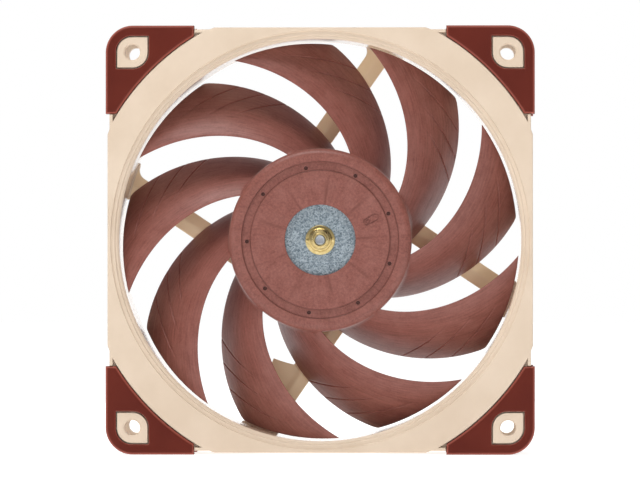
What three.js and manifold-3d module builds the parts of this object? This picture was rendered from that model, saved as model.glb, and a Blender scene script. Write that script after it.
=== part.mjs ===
// A 120 mm axial case fan: a square frame with soft corner pads, a nine-bladed impeller on a steel rotor
// cup, and the motor, bearing and circuit board inside the hub. Millimetres, +Z up, angles in degrees.
// The rotor turns about Y: air enters at the front, -Y, and leaves at the back, +Y. The origin is on that
// axis, at half the depth. Depths are measured backwards from the front plane, and angles are
// anticlockwise from +X as seen from the front.
import * as THREE from "three";
import { mergeVertices } from "three/addons/utils/BufferGeometryUtils.js";
import Module from "manifold-3d";

const wasm = await Module();
wasm.setup();

// Frame.
const FAN_SIZE = 120;
const FAN_DEPTH = 25;
const PAD_PROUD = 0.3; // how far the pads stand in front of the frame's faces
const FRAME_HALF = 59.45; // half the frame's width along the middle of each side
const CORNER_HALF = 58.9; // half its width near the corners, where the pads wrap it
const FLAT_HALF = 29.5; // half the length of the full-width stretch
const FLAT_RAMP = 1.5;
const CORNER_CENTRE = 52.4; // centre of every corner radius, on both axes
const FLANGE_BACK = 4.7; // depth of the front flange's rear face
const DUCT_OUTER = 58.6;
const SIDE_PANEL_HALF = 18; // half the length of the flat wall in the middle of each side
const SIDE_PANEL_FACE = 59.1;
const SIDE_PANEL_INNER = 57;
const DUCT_RADIUS = 56.25;
const STEP_RADIUS = 57.35; // inner step of the inlet
const RIM_RADIUS = 58.55; // outer step of the inlet
const STEP_RISE = 0.55;
const HOLE_CENTRE = 52.5; // the screw holes are on a 105 mm square
const HOLE_RADIUS = 2.15;
const HOLE_CHAMFER = 1;
const CHAMFER_DEPTH = 0.35;

// Corner pads.
const PAD_END = 35.3; // distance of each pad's end from the fan's centre line
const PAD_ARC = 67; // radius of the pad's inner edge
const PAD_FACE = 2; // thickness of the pad over the flange's face
const PAD_SKIRT = 0.9; // thickness of the pad down the flange's edge
const PAD_LIP = 2.1; // how far the pad's lip reaches in behind the flange
const PAD_DEPTH = 5.7;
const LIP_FRONT = 4.9;
const POCKET_ARC = 66.75;
const POCKET_RIM = 58; // inner face of the thin rim that closes the pocket beyond the pad's end
const POCKET_FLOOR = 2.3;
const PAD_CLEARANCE = 0.2;
const BOSS_HALF = 4.275; // half the width of the leaf-shaped boss round each screw hole
const BOSS_GAP = 0.35;

// Struts and motor base.
const STRUT_WIDTH = 6.2;
const STRUT_OFFSET = 16.7; // distance of each strut's centre line from the axis
const STRUT_ANGLES = [54.9, 146.1, 235.4, 326.2];
const CABLE_STRUT = 235.4;
const STRUT_FRONT = 21.7;
const STRUT_SHOULDER = 22.6; // depth of the strut's edges: its front is a low ridge
const STRUT_START = 14;
const STRUT_END = 54.8;
const PLATE_INNER = 36.1; // inner radius of the plate beside the cable strut
const PLATE_START = 247.9;
const PLATE_CORNER = 262;
const PLATE_FRONT = 22.2;
const CHANNEL_WIDTH = 4.4;
const CHANNEL_DEPTH = 1.9;
const CHANNEL_END = 64;
const BASE_RADIUS = 25.2;
const BASE_INNER = 23.6;
const BASE_FRONT = 21.3;
const BASE_FLOOR = 22.6;
const LABEL_RADIUS = 22.7;
const LABEL_RECESS = 0.45;
const LABEL_THICKNESS = 0.2;
const TUBE_BOSS_RADIUS = 6;
const TUBE_BOSS_FRONT = 17.6;

// Impeller.
const BLADES = 9;
const TIP_RADIUS = 55.6;
const HUB_RADIUS = 25.65;
const HUB_FRONT = 1.5;
const HUB_BACK = 20.6;
const HUB_WALL_INNER = 24.2;
const HUB_PLATE_BACK = 2.8;
const HUB_ROUNDING = 2;
const GROOVE_OUTER = 22; // the ring-shaped groove in the hub's face
const GROOVE_INNER = 19.5;
const GROOVE_DEPTH = 0.5;
const DIMPLE_CIRCLE = 20.5; // nine dimples in the groove
const DIMPLE_RADIUS = 0.5;
const DIMPLE_DEPTH = 0.4;
const DIMPLE_ANGLE = 21.2;
const HUB_OPENING = 9.9;
const ROOT_RADIUS = 24.9;
const TIP_CORNER_ANGLE = 35.4; // angle of one blade's leading tip corner
// Angle of each edge of the blade at 0 degrees, as a cubic in the share of the span from hub to tip.
const LEADING_EDGE = [30.8, 50, -9.6, 4.3];
const TRAILING_EDGE = [1.1, 60.2, -26.3, 11.9];
const LEADING_DEPTH = [3.1, 2.5]; // at the hub and at the tip
const TRAILING_DEPTH = [20.2, 20.8];
const BLADE_THICKNESS = [1.9, 1.2];
const EDGE_THICKNESS = 0.4;
const CAMBER = 0.07; // height of the camber line, as a share of the chord
const SPAN_STEPS = 7;
const CHORD_STEPS = 6;

// Rotor cup, magnet, bushing and shaft.
const CUP_RADIUS = 23.9;
const CUP_FRONT = 3;
const CUP_BACK = 19.8;
const CUP_WALL = 0.9;
const CUP_HOLE = 3.2;
const MAGNET_OUTER = 22.8;
const MAGNET_INNER = 20.9;
const MAGNET_FRONT = 5;
const MAGNET_BACK = 19.6;
const SHAFT_RADIUS = 1.5;
const SHAFT_FRONT = 1.35;
const SHAFT_BACK = 21.2;
const SHAFT_GROOVE = 1.15;
const CLIP_FRONT = 20.1;
const CLIP_BACK = 20.4;
const CLIP_RADIUS = 2.4;
const CLIP_CLEARANCE = 0.1;
const BUSHING_BORE = 1.55;

// Bearing.
const TUBE_RADIUS = 4;
const TUBE_BORE = 3.1;
const TUBE_FRONT = 5.6;
const TUBE_BACK = 23.3;
const TUBE_FLOOR = 22.7;
const SLEEVE_RADIUS = 2.9;
const SLEEVE_BORE = 1.56;

// Stator and circuit board.
const CORE_FRONT = 9;
const CORE_BACK = 16;
const POLES = 4;
const POLE_FACE_RADIUS = 20.4;
const INSULATOR_THICKNESS = 1;
const COIL_INNER_RADIUS = 9;
const COIL_OUTER_RADIUS = 16.5;
const COIL_SLOT_HALF = 3.2;
const COIL_THICKNESS = 2.4;
const COIL_SLOT_FRONT = 7.6;
const COIL_SLOT_BACK = 17.4;
const PIN_CIRCLE = 7.3;
const PIN_RADIUS = 0.35;
const BOARD_RADIUS = 22.8;
const BOARD_HOLE = 6.4;
const BOARD_FRONT = 20.4;
const BOARD_BACK = 21.4;

const ROUND_STEPS = 60;
const DUCT_STEPS = 72;
const SMALL_STEPS = 20;

const atDepth = (depth) => depth - FAN_DEPTH / 2;
const radians = THREE.MathUtils.degToRad;
const polar = (radius, angle) => [radius * Math.cos(radians(angle)), radius * Math.sin(radians(angle))];

// Shapes.

// A profile of [radius, depth] points, turned about the rotor's axis.
function turned(profile, steps = ROUND_STEPS) {
  const points = profile.map(([radius, depth]) => new THREE.Vector2(radius, atDepth(depth)));
  return new THREE.LatheGeometry(points, steps);
}

function disc(radius, front, back, steps = ROUND_STEPS) {
  return turned([[0, front], [radius, front], [radius, back], [0, back]], steps);
}

function ring(inner, outer, front, back, steps = ROUND_STEPS) {
  return turned([[inner, front], [outer, front], [outer, back], [inner, back], [inner, front]], steps);
}

// An outline seen from the front, given thickness between two depths.
function plate(outline, front, back, curveSegments = 4) {
  const options = { depth: back - front, bevelEnabled: false, curveSegments };
  const geometry = new THREE.ExtrudeGeometry(outline, options);
  return geometry.rotateX(Math.PI / 2).translate(0, atDepth(back), 0);
}

function block(width, height, x, z, front, back) {
  const geometry = new THREE.BoxGeometry(width, back - front, height);
  return geometry.translate(x, atDepth((front + back) / 2), z);
}

// Turns a geometry anticlockwise, as seen from the front.
const turn = (geometry, angle) => geometry.rotateY(-radians(angle));

function solidOf(geometry) {
  const bare = new THREE.BufferGeometry();
  bare.setAttribute("position", geometry.getAttribute("position"));
  bare.setIndex(geometry.getIndex());
  const merged = mergeVertices(bare, 1e-4);
  const vertProperties = merged.getAttribute("position").array;
  const triVerts = new Uint32Array(merged.getIndex().array);
  return new wasm.Manifold(new wasm.Mesh({ numProp: 3, vertProperties, triVerts }));
}

function geometryOf(solid) {
  const { vertProperties, triVerts } = solid.getMesh();
  const geometry = new THREE.BufferGeometry();
  geometry.setAttribute("position", new THREE.BufferAttribute(vertProperties, 3));
  geometry.setIndex(new THREE.BufferAttribute(triVerts, 1));
  return geometry;
}

function joined(...geometries) {
  return geometryOf(geometries.map(solidOf).reduce((all, next) => all.add(next)));
}

function cut(base, ...tools) {
  return geometryOf(tools.map(solidOf).reduce((rest, tool) => rest.subtract(tool), solidOf(base)));
}

// The same geometry at each of the frame's four corners, on the front and on the back.
function atEachCorner(make) {
  const quarters = [0, 90, 180, 270];
  const front = quarters.map((angle) => turn(make(), angle));
  const back = quarters.map((angle) => turn(make(), angle).rotateZ(Math.PI));
  return [...front, ...back];
}

// Frame.

// The frame's square outline: full width mid-side, a little narrower at its rounded corners.
function frameOutline() {
  const outline = new THREE.Shape();
  for (let quarter = 0; quarter < 4; quarter++) {
    const place = (along, up) => {
      const [x, z] = polar(1, 90 * quarter);
      return [along * x - up * z, along * z + up * x];
    };
    const go = quarter === 0 ? "moveTo" : "lineTo";
    outline[go](...place(FRAME_HALF, FLAT_HALF));
    outline.lineTo(...place(CORNER_HALF, FLAT_HALF + FLAT_RAMP));
    const start = radians(90 * quarter);
    const radius = CORNER_HALF - CORNER_CENTRE;
    outline.absarc(...place(CORNER_CENTRE, CORNER_CENTRE), radius, start, start + Math.PI / 2);
    outline.lineTo(...place(FLAT_HALF + FLAT_RAMP, CORNER_HALF));
    outline.lineTo(...place(FLAT_HALF, FRAME_HALF));
  }
  outline.closePath();
  return outline;
}

// The pocket that a pad sits in: a wedge behind a thin rim, open to the side where the pad covers it.
function pocketOutline() {
  const open = PAD_END - PAD_CLEARANCE;
  const tip = Math.acos(POCKET_RIM / POCKET_ARC);
  const outline = new THREE.Shape();
  outline.moveTo(POCKET_RIM, POCKET_ARC * Math.sin(tip));
  outline.lineTo(POCKET_RIM, open);
  outline.lineTo(FAN_SIZE, open);
  outline.lineTo(FAN_SIZE, FAN_SIZE);
  outline.lineTo(open, FAN_SIZE);
  outline.lineTo(open, POCKET_RIM);
  outline.lineTo(POCKET_ARC * Math.sin(tip), POCKET_RIM);
  outline.absarc(0, 0, POCKET_ARC, Math.PI / 2 - tip, tip, true);
  outline.closePath();
  return outline;
}

// A square round the screw hole with its outer and inner corners fully rounded.
function leafOutline(half) {
  const outline = new THREE.Shape();
  const low = HOLE_CENTRE - half;
  const high = HOLE_CENTRE + half;
  outline.moveTo(high, low);
  outline.lineTo(high, HOLE_CENTRE);
  outline.absarc(HOLE_CENTRE, HOLE_CENTRE, half, 0, Math.PI / 2);
  outline.lineTo(low, high);
  outline.lineTo(low, HOLE_CENTRE);
  outline.absarc(HOLE_CENTRE, HOLE_CENTRE, half, Math.PI, Math.PI * 1.5);
  outline.closePath();
  return outline;
}

// One of the 4.3 mm screw holes, from front to back, chamfered at both ends.
function screwHole() {
  const front = PAD_PROUD + CHAMFER_DEPTH;
  const wide = HOLE_RADIUS + HOLE_CHAMFER;
  const back = FAN_DEPTH - front;
  const profile = [
    [0, front - HOLE_CHAMFER],
    [wide, front - HOLE_CHAMFER],
    [HOLE_RADIUS, front],
    [HOLE_RADIUS, back],
    [wide, back + HOLE_CHAMFER],
    [0, back + HOLE_CHAMFER],
  ];
  return turned(profile, SMALL_STEPS).translate(HOLE_CENTRE, 0, HOLE_CENTRE);
}

// The space that the air passes through, with the two steps of the inlet.
function ductSpace() {
  const face = PAD_PROUD;
  const profile = [
    [0, -1],
    [RIM_RADIUS, -1],
    [RIM_RADIUS, face + STEP_RISE],
    [STEP_RADIUS, face + STEP_RISE],
    [STEP_RADIUS, face + 2 * STEP_RISE],
    [DUCT_RADIUS + STEP_RISE, face + 2 * STEP_RISE],
    [DUCT_RADIUS, face + 3 * STEP_RISE],
    [DUCT_RADIUS, FAN_DEPTH - face - STEP_RISE],
    [DUCT_RADIUS + STEP_RISE, FAN_DEPTH - face],
    [DUCT_RADIUS + STEP_RISE, FAN_DEPTH + 1],
    [0, FAN_DEPTH + 1],
  ];
  return turned(profile, DUCT_STEPS);
}

// The flanges and the duct wall, with pockets for the pads and bosses round the screw holes.
function housing() {
  const back = FAN_DEPTH - PAD_PROUD;
  const frontFlange = plate(frameOutline(), PAD_PROUD, FLANGE_BACK);
  const rearFlange = plate(frameOutline(), FAN_DEPTH - FLANGE_BACK, back);
  const tube = disc(DUCT_OUTER, PAD_PROUD + 1, back - 1, DUCT_STEPS);
  const panel = block(
    SIDE_PANEL_FACE - SIDE_PANEL_INNER, 2 * SIDE_PANEL_HALF,
    (SIDE_PANEL_FACE + SIDE_PANEL_INNER) / 2, 0, PAD_PROUD + 1, back - 1,
  );
  const panels = [0, 90, 180, 270].map((angle) => turn(panel.clone(), angle));
  const walls = joined(frontFlange, rearFlange, tube, ...panels);
  const pocketed = cut(walls, ...atEachCorner(() => plate(pocketOutline(), -1, POCKET_FLOOR)));
  const bosses = atEachCorner(() => plate(leafOutline(BOSS_HALF), PAD_PROUD, POCKET_FLOOR + 1));
  const holes = [0, 90, 180, 270].map((angle) => turn(screwHole(), angle));
  return cut(joined(pocketed, ...bosses), ductSpace(), ...holes);
}

// A bar along -Z from the motor base to the duct wall, then turned to its angle.
function strutBar(section, inner, outer, angle) {
  const options = { depth: outer - inner, bevelEnabled: false };
  const geometry = new THREE.ExtrudeGeometry(section, options);
  return turn(geometry.translate(STRUT_OFFSET, 0, -outer), angle - 270);
}

function strut(angle) {
  const half = STRUT_WIDTH / 2;
  const section = new THREE.Shape();
  section.moveTo(-half, atDepth(STRUT_SHOULDER));
  section.lineTo(0, atDepth(STRUT_FRONT));
  section.lineTo(half, atDepth(STRUT_SHOULDER));
  section.lineTo(half, atDepth(FAN_DEPTH - PAD_PROUD));
  section.lineTo(-half, atDepth(FAN_DEPTH - PAD_PROUD));
  section.closePath();
  return strutBar(section, STRUT_START, STRUT_END, angle);
}

// The flat plate that widens the cable strut towards the duct wall.
function cablePlate() {
  const outline = new THREE.Shape();
  const outer = DUCT_RADIUS + 1;
  const strutAngle = CABLE_STRUT + THREE.MathUtils.radToDeg(Math.asin(STRUT_OFFSET / outer));
  outline.moveTo(...polar(PLATE_INNER, PLATE_START));
  outline.lineTo(...polar(outer, PLATE_START));
  outline.absarc(0, 0, outer, radians(PLATE_START), radians(strutAngle));
  outline.lineTo(...polar(PLATE_INNER, PLATE_CORNER));
  outline.absarc(0, 0, PLATE_INNER, radians(PLATE_CORNER), radians(PLATE_START), true);
  outline.closePath();
  return plate(outline, PLATE_FRONT, FAN_DEPTH - PAD_PROUD, 3);
}

// The groove for the lead, open at the back, from the motor base to the frame's edge.
function cableChannel() {
  const half = CHANNEL_WIDTH / 2;
  const back = FAN_DEPTH - PAD_PROUD;
  const section = new THREE.Shape();
  section.moveTo(-half, atDepth(back - CHANNEL_DEPTH));
  section.lineTo(half, atDepth(back - CHANNEL_DEPTH));
  section.lineTo(half, atDepth(back + 1));
  section.lineTo(-half, atDepth(back + 1));
  section.closePath();
  return strutBar(section, STRUT_START, CHANNEL_END, CABLE_STRUT);
}

// The shallow cup behind the hub that carries the board and the bearing tube, closed by the label.
function baseSpaces() {
  const boardSpace = disc(BASE_INNER, BASE_FRONT - 1, BASE_FLOOR);
  const back = FAN_DEPTH - PAD_PROUD;
  const labelSpace = disc(LABEL_RADIUS + PAD_CLEARANCE, back - LABEL_RECESS, back + 1);
  return [boardSpace, labelSpace];
}

function frame() {
  const back = FAN_DEPTH - PAD_PROUD;
  const base = disc(BASE_RADIUS, BASE_FRONT, back);
  const body = joined(housing(), base, ...STRUT_ANGLES.map(strut), cablePlate());
  const open = cut(body, ...baseSpaces(), cableChannel());
  const tubeBoss = disc(TUBE_BOSS_RADIUS, TUBE_BOSS_FRONT, BASE_FLOOR + 0.5, 30);
  const tubeSocket = disc(TUBE_RADIUS + 0.25, TUBE_BOSS_FRONT - 1, TUBE_BACK + 0.2, 30);
  return cut(joined(open, tubeBoss), tubeSocket);
}

// Pads.

// The region inside the pad's hollow: a square corner of the given reach.
function cornerOutline(reach) {
  const outline = new THREE.Shape();
  outline.moveTo(0, 0);
  outline.lineTo(reach, 0);
  outline.absarc(CORNER_CENTRE, CORNER_CENTRE, reach - CORNER_CENTRE, 0, Math.PI / 2);
  outline.lineTo(0, reach);
  outline.closePath();
  return outline;
}

function padOutline() {
  const half = FAN_SIZE / 2;
  const tip = Math.asin(PAD_END / PAD_ARC);
  const outline = new THREE.Shape();
  outline.moveTo(half, PAD_END);
  outline.lineTo(half, CORNER_CENTRE);
  outline.absarc(CORNER_CENTRE, CORNER_CENTRE, half - CORNER_CENTRE, 0, Math.PI / 2);
  outline.lineTo(PAD_END, half);
  outline.absarc(0, 0, PAD_ARC, Math.PI / 2 - tip, tip, true);
  outline.closePath();
  return outline;
}

// The pad at the front's top right corner: a face plate, a skirt down the flange's edge and a lip behind it.
function pad() {
  const half = FAN_SIZE / 2;
  return cut(
    plate(padOutline(), 0, PAD_DEPTH),
    plate(cornerOutline(half - PAD_SKIRT), PAD_FACE, LIP_FRONT),
    plate(cornerOutline(half - PAD_LIP), LIP_FRONT - 1, PAD_DEPTH + 1),
    plate(leafOutline(BOSS_HALF + BOSS_GAP), -1, PAD_FACE + 1),
  );
}

// Impeller.

// The hub: face plate with a ring groove and a round opening, and the wall that carries the blades.
function hub() {
  const outerEdge = [];
  for (let step = 0; step <= 3; step++) {
    const angle = radians(-90 + 30 * step);
    const radius = HUB_RADIUS - HUB_ROUNDING + HUB_ROUNDING * Math.cos(angle);
    outerEdge.push([radius, HUB_FRONT + HUB_ROUNDING + HUB_ROUNDING * Math.sin(angle)]);
  }
  const profile = [
    [HUB_OPENING, HUB_FRONT],
    [GROOVE_INNER, HUB_FRONT],
    [GROOVE_INNER, HUB_FRONT + GROOVE_DEPTH],
    [GROOVE_OUTER, HUB_FRONT + GROOVE_DEPTH],
    [GROOVE_OUTER, HUB_FRONT],
    ...outerEdge,
    [HUB_RADIUS, HUB_BACK],
    [HUB_WALL_INNER, HUB_BACK],
    [HUB_WALL_INNER, HUB_PLATE_BACK],
    [HUB_OPENING, HUB_PLATE_BACK],
    [HUB_OPENING, HUB_FRONT],
  ];
  return turned(profile);
}

function dimple(angle) {
  const bottom = HUB_FRONT + GROOVE_DEPTH + DIMPLE_DEPTH;
  const pit = disc(DIMPLE_RADIUS, HUB_FRONT, bottom, 8).translate(DIMPLE_CIRCLE, 0, 0);
  return turn(pit, angle);
}

const cubic = ([a, b, c, d], t) => a + t * (b + t * (c + t * d));
const between = ([start, end], t) => start + (end - start) * t;

// One point of the blade's skin. Chord runs from 0 at the leading edge to 1 at the trailing edge, and side
// is 1 on the face that is seen from the front and -1 on the other. The section lies on a cylinder.
function bladePoint(radius, chord, side) {
  const span = (radius - HUB_RADIUS) / (TIP_RADIUS - HUB_RADIUS);
  const leading = [radius * radians(cubic(LEADING_EDGE, span)), between(LEADING_DEPTH, span)];
  const trailing = [radius * radians(cubic(TRAILING_EDGE, span)), between(TRAILING_DEPTH, span)];
  const run = [trailing[0] - leading[0], trailing[1] - leading[1]];
  const length = Math.hypot(...run);
  const fullness = 4 * chord * (1 - chord);
  const thickness = EDGE_THICKNESS + (between(BLADE_THICKNESS, span) - EDGE_THICKNESS) * fullness ** 0.7;
  const rise = CAMBER * length * fullness + (side * thickness) / 2;
  const around = leading[0] + run[0] * chord - (run[1] / length) * rise;
  const depth = leading[1] + run[1] * chord + (run[0] / length) * rise;
  const angle = around / radius;
  return [radius * Math.cos(angle), atDepth(depth), radius * Math.sin(angle)];
}

// One blade as a closed skin: loops of points round its section from root to tip, and a cap at each end.
function blade() {
  const loop = 2 * (CHORD_STEPS + 1);
  const points = [];
  const faces = [];
  for (let row = 0; row <= SPAN_STEPS; row++) {
    const radius = ROOT_RADIUS + ((TIP_RADIUS - ROOT_RADIUS) * row) / SPAN_STEPS;
    for (let step = 0; step <= CHORD_STEPS; step++) points.push(...bladePoint(radius, step / CHORD_STEPS, 1));
    for (let step = CHORD_STEPS; step >= 0; step--) points.push(...bladePoint(radius, step / CHORD_STEPS, -1));
  }
  for (let row = 0; row < SPAN_STEPS; row++) {
    for (let step = 0; step < loop; step++) {
      const a = row * loop + step;
      const b = row * loop + ((step + 1) % loop);
      faces.push(a, b, a + loop, b, b + loop, a + loop);
    }
  }
  const tip = SPAN_STEPS * loop;
  for (let step = 0; step < CHORD_STEPS; step++) {
    const across = loop - 1 - step;
    faces.push(step, across, step + 1, step + 1, across, across - 1);
    faces.push(tip + step, tip + step + 1, tip + across, tip + step + 1, tip + across - 1, tip + across);
  }
  const geometry = new THREE.BufferGeometry();
  geometry.setAttribute("position", new THREE.Float32BufferAttribute(points, 3));
  geometry.setIndex(faces);
  return geometry;
}

function impeller() {
  const spacing = 360 / BLADES;
  const steps = [...Array(BLADES).keys()];
  const first = TIP_CORNER_ANGLE - cubic(LEADING_EDGE, 1);
  const blades = steps.map((step) => turn(blade(), first + spacing * step));
  const dimples = steps.map((step) => dimple(DIMPLE_ANGLE + spacing * step));
  return cut(joined(hub(), ...blades), ...dimples);
}

// Rotor.

function rotorCup() {
  const inner = CUP_RADIUS - CUP_WALL;
  return turned([
    [CUP_HOLE, CUP_FRONT],
    [CUP_RADIUS - 1, CUP_FRONT],
    [CUP_RADIUS, CUP_FRONT + 1],
    [CUP_RADIUS, CUP_BACK],
    [inner, CUP_BACK],
    [inner, CUP_FRONT + 1.4],
    [inner - 0.5, CUP_FRONT + CUP_WALL],
    [CUP_HOLE, CUP_FRONT + CUP_WALL],
    [CUP_HOLE, CUP_FRONT],
  ]);
}

// The turned bushing: a stepped dome, a flange in front of the cup, a neck through it and a riveted collar.
function hubBushing() {
  return turned([
    [BUSHING_BORE, 1.3],
    [2, 1.3],
    [2.3, 1.6],
    [2.9, 1.6],
    [3.25, 2],
    [3.25, 2.5],
    [4.15, 2.5],
    [4.15, 2.8],
    [3, 2.8],
    [3, 4.1],
    [4, 4.1],
    [4, 5],
    [BUSHING_BORE, 5],
    [BUSHING_BORE, 1.3],
  ], SMALL_STEPS);
}

function shaft() {
  return turned([
    [0, SHAFT_FRONT],
    [SHAFT_RADIUS - 0.3, SHAFT_FRONT],
    [SHAFT_RADIUS, SHAFT_FRONT + 0.3],
    [SHAFT_RADIUS, CLIP_FRONT - CLIP_CLEARANCE],
    [SHAFT_GROOVE, CLIP_FRONT - CLIP_CLEARANCE],
    [SHAFT_GROOVE, CLIP_BACK + CLIP_CLEARANCE],
    [SHAFT_RADIUS, CLIP_BACK + CLIP_CLEARANCE],
    [SHAFT_RADIUS, SHAFT_BACK - 0.3],
    [SHAFT_RADIUS - 0.5, SHAFT_BACK],
    [0, SHAFT_BACK],
  ], SMALL_STEPS);
}

// A split ring that snaps into the shaft's groove.
function retainingRing() {
  const whole = ring(SHAFT_GROOVE + CLIP_CLEARANCE, CLIP_RADIUS, CLIP_FRONT, CLIP_BACK, SMALL_STEPS);
  return cut(whole, block(CLIP_RADIUS + 1, 1, CLIP_RADIUS / 2 + 0.5, 0, CLIP_FRONT - 1, CLIP_BACK + 1));
}

// Bearing.

function bearingTube() {
  return turned([
    [TUBE_BORE, TUBE_FRONT],
    [TUBE_RADIUS, TUBE_FRONT],
    [TUBE_RADIUS, TUBE_BACK],
    [0, TUBE_BACK],
    [0, TUBE_FLOOR],
    [TUBE_BORE, TUBE_FLOOR],
    [TUBE_BORE, TUBE_FRONT],
  ], SMALL_STEPS);
}

// Stator.

// A ring with one arm for each pole and a curved shoe at each arm's end.
function poleStar(hubInner, hubOuter, armHalf, shoeInner, shoeOuter, shoeSpread, front, back) {
  const arm = block(shoeInner - hubOuter + 2, 2 * armHalf, (shoeInner + hubOuter) / 2, 0, front, back);
  const shoe = new THREE.Shape();
  const spread = radians(shoeSpread);
  shoe.absarc(0, 0, shoeOuter, -spread, spread);
  shoe.absarc(0, 0, shoeInner, spread, -spread, true);
  shoe.closePath();
  const arms = [];
  for (let pole = 0; pole < POLES; pole++) {
    const angle = (360 / POLES) * pole;
    arms.push(turn(arm.clone(), angle), turn(plate(shoe, front, back, 4), angle));
  }
  return joined(ring(hubInner, hubOuter, front, back, 30), ...arms);
}

function statorCore() {
  return poleStar(4.25, 7.6, 2.6, 18.4, POLE_FACE_RADIUS, 37, CORE_FRONT, CORE_BACK);
}

function insulator(front) {
  return poleStar(4.4, 8.4, 3, 17.7, 19.6, 30, front, front + INSULATOR_THICKNESS);
}

// A winding round one pole's arm, which lies along +X here.
function coil() {
  const halfWidth = COIL_SLOT_HALF + COIL_THICKNESS;
  const front = COIL_SLOT_FRONT - COIL_THICKNESS;
  const back = COIL_SLOT_BACK + COIL_THICKNESS;
  const rounding = 1.5;
  const outer = new THREE.Shape();
  const [low, high] = [atDepth(front), atDepth(back)];
  outer.absarc(halfWidth - rounding, low + rounding, rounding, -Math.PI / 2, 0);
  outer.absarc(halfWidth - rounding, high - rounding, rounding, 0, Math.PI / 2);
  outer.absarc(rounding - halfWidth, high - rounding, rounding, Math.PI / 2, Math.PI);
  outer.absarc(rounding - halfWidth, low + rounding, rounding, Math.PI, Math.PI * 1.5);
  outer.closePath();
  const slot = new THREE.Path();
  slot.moveTo(-COIL_SLOT_HALF, atDepth(COIL_SLOT_FRONT));
  slot.lineTo(-COIL_SLOT_HALF, atDepth(COIL_SLOT_BACK));
  slot.lineTo(COIL_SLOT_HALF, atDepth(COIL_SLOT_BACK));
  slot.lineTo(COIL_SLOT_HALF, atDepth(COIL_SLOT_FRONT));
  slot.closePath();
  outer.holes.push(slot);
  const options = { depth: COIL_OUTER_RADIUS - COIL_INNER_RADIUS, bevelEnabled: false, curveSegments: 2 };
  const geometry = new THREE.ExtrudeGeometry(outer, options);
  return geometry.translate(0, 0, COIL_INNER_RADIUS).rotateY(Math.PI / 2);
}

function circuitBoard() {
  const board = ring(BOARD_HOLE, BOARD_RADIUS, BOARD_FRONT, BOARD_BACK, 48);
  const holes = [45, 135, 225, 315].map((angle) => {
    const [x, z] = polar(PIN_CIRCLE, angle);
    return disc(PIN_RADIUS + 0.25, BOARD_FRONT - 1, BOARD_BACK + 1, 12).translate(x, 0, z);
  });
  return cut(board, ...holes);
}

// Assembly.

const finishes = {
  frame: { color: 0xe1cbb4, roughness: 0.55, metalness: 0 },
  pad: { color: 0x6a2a21, roughness: 0.6, metalness: 0 },
  impeller: { color: 0x8c5f58, roughness: 0.5, metalness: 0 },
  zinc: { color: 0x8c9ba5, roughness: 0.45, metalness: 0.7 },
  brass: { color: 0xc9a24a, roughness: 0.3, metalness: 0.9 },
  steel: { color: 0xb5b8bb, roughness: 0.25, metalness: 0.9 },
  bronze: { color: 0x8a6a45, roughness: 0.6, metalness: 0.6 },
  nylon: { color: 0xe8e4d8, roughness: 0.6, metalness: 0 },
  magnet: { color: 0x2b2a2a, roughness: 0.8, metalness: 0.1 },
  lamination: { color: 0x5e6165, roughness: 0.5, metalness: 0.7 },
  copper: { color: 0xb5642f, roughness: 0.35, metalness: 0.8 },
  board: { color: 0x2f5a35, roughness: 0.5, metalness: 0 },
  component: { color: 0x26262a, roughness: 0.5, metalness: 0 },
  label: { color: 0xb9a58c, roughness: 0.5, metalness: 0 },
};

function piece(parent, name, geometry, finish) {
  const mesh = new THREE.Mesh(geometry, new THREE.MeshStandardMaterial(finishes[finish]));
  mesh.name = name;
  parent.add(mesh);
  return mesh;
}

// The four pads of the front, or of the back when their group is turned over about the upright axis.
function addPads(parent, side, corners) {
  corners.forEach((corner, quarter) => {
    piece(parent, `pad_${side}_${corner}`, pad(), "pad").rotation.y = -radians(90 * quarter);
  });
}

function addBearing(parent) {
  piece(parent, "bearing_tube", bearingTube(), "brass");
  piece(parent, "oil_seal_washer", ring(1.75, SLEEVE_RADIUS, 5.8, 6.1, SMALL_STEPS), "nylon");
  piece(parent, "bearing_sleeve", ring(SLEEVE_BORE, SLEEVE_RADIUS, 6.3, 19.8, SMALL_STEPS), "bronze");
  piece(parent, "thrust_disc", disc(2.8, 21.3, 21.9, SMALL_STEPS), "nylon");
  piece(parent, "bias_magnet", disc(2.8, 22, 22.6, SMALL_STEPS), "magnet");
}

function addStator(parent) {
  piece(parent, "stator_core", statorCore(), "lamination");
  piece(parent, "insulator_front", insulator(CORE_FRONT - 0.2 - INSULATOR_THICKNESS), "nylon");
  piece(parent, "insulator_rear", insulator(CORE_BACK + 0.2), "nylon");
  for (let pole = 0; pole < POLES; pole++) {
    piece(parent, `coil_${pole + 1}`, coil(), "copper").rotation.y = -radians((360 / POLES) * pole);
    const [x, z] = polar(PIN_CIRCLE, 45 + (360 / POLES) * pole);
    const pin = disc(PIN_RADIUS, 17.4, 21.9, 12);
    piece(parent, `terminal_pin_${pole + 1}`, pin, "steel").position.set(x, 0, z);
  }
}

// The board and what is soldered to it: the sensor in front, near the magnet, and the rest on the back.
function addBoard(parent) {
  const soldered = BOARD_BACK + 0.1;
  piece(parent, "circuit_board", circuitBoard(), "board");
  const parts = [
    // name, width, height, x, z, front, back
    ["hall_sensor", 2.9, 1.6, 12.9, 12.9, 19.4, 20.3],
    ["driver_chip", 5, 4.4, 0, 14.5, soldered, 22.4],
    ["capacitor_1", 2, 1.3, -9, 12, soldered, 22.3],
    ["capacitor_2", 3.2, 1.6, 10, -11, soldered, 22.4],
    ["diode", 2.6, 1.5, -14, 5, soldered, 22.4],
    ["resistor_1", 1.6, 0.8, 6.5, 12, soldered, 22],
    ["resistor_2", 1.6, 0.8, -14, -3, soldered, 22],
    ["resistor_3", 1.6, 0.8, 12, 5, soldered, 22],
  ];
  for (const [name, width, height, x, z, front, back] of parts) {
    const body = new THREE.BoxGeometry(width, back - front, height);
    piece(parent, name, body, "component").position.set(x, atDepth((front + back) / 2), z);
  }
}

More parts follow.
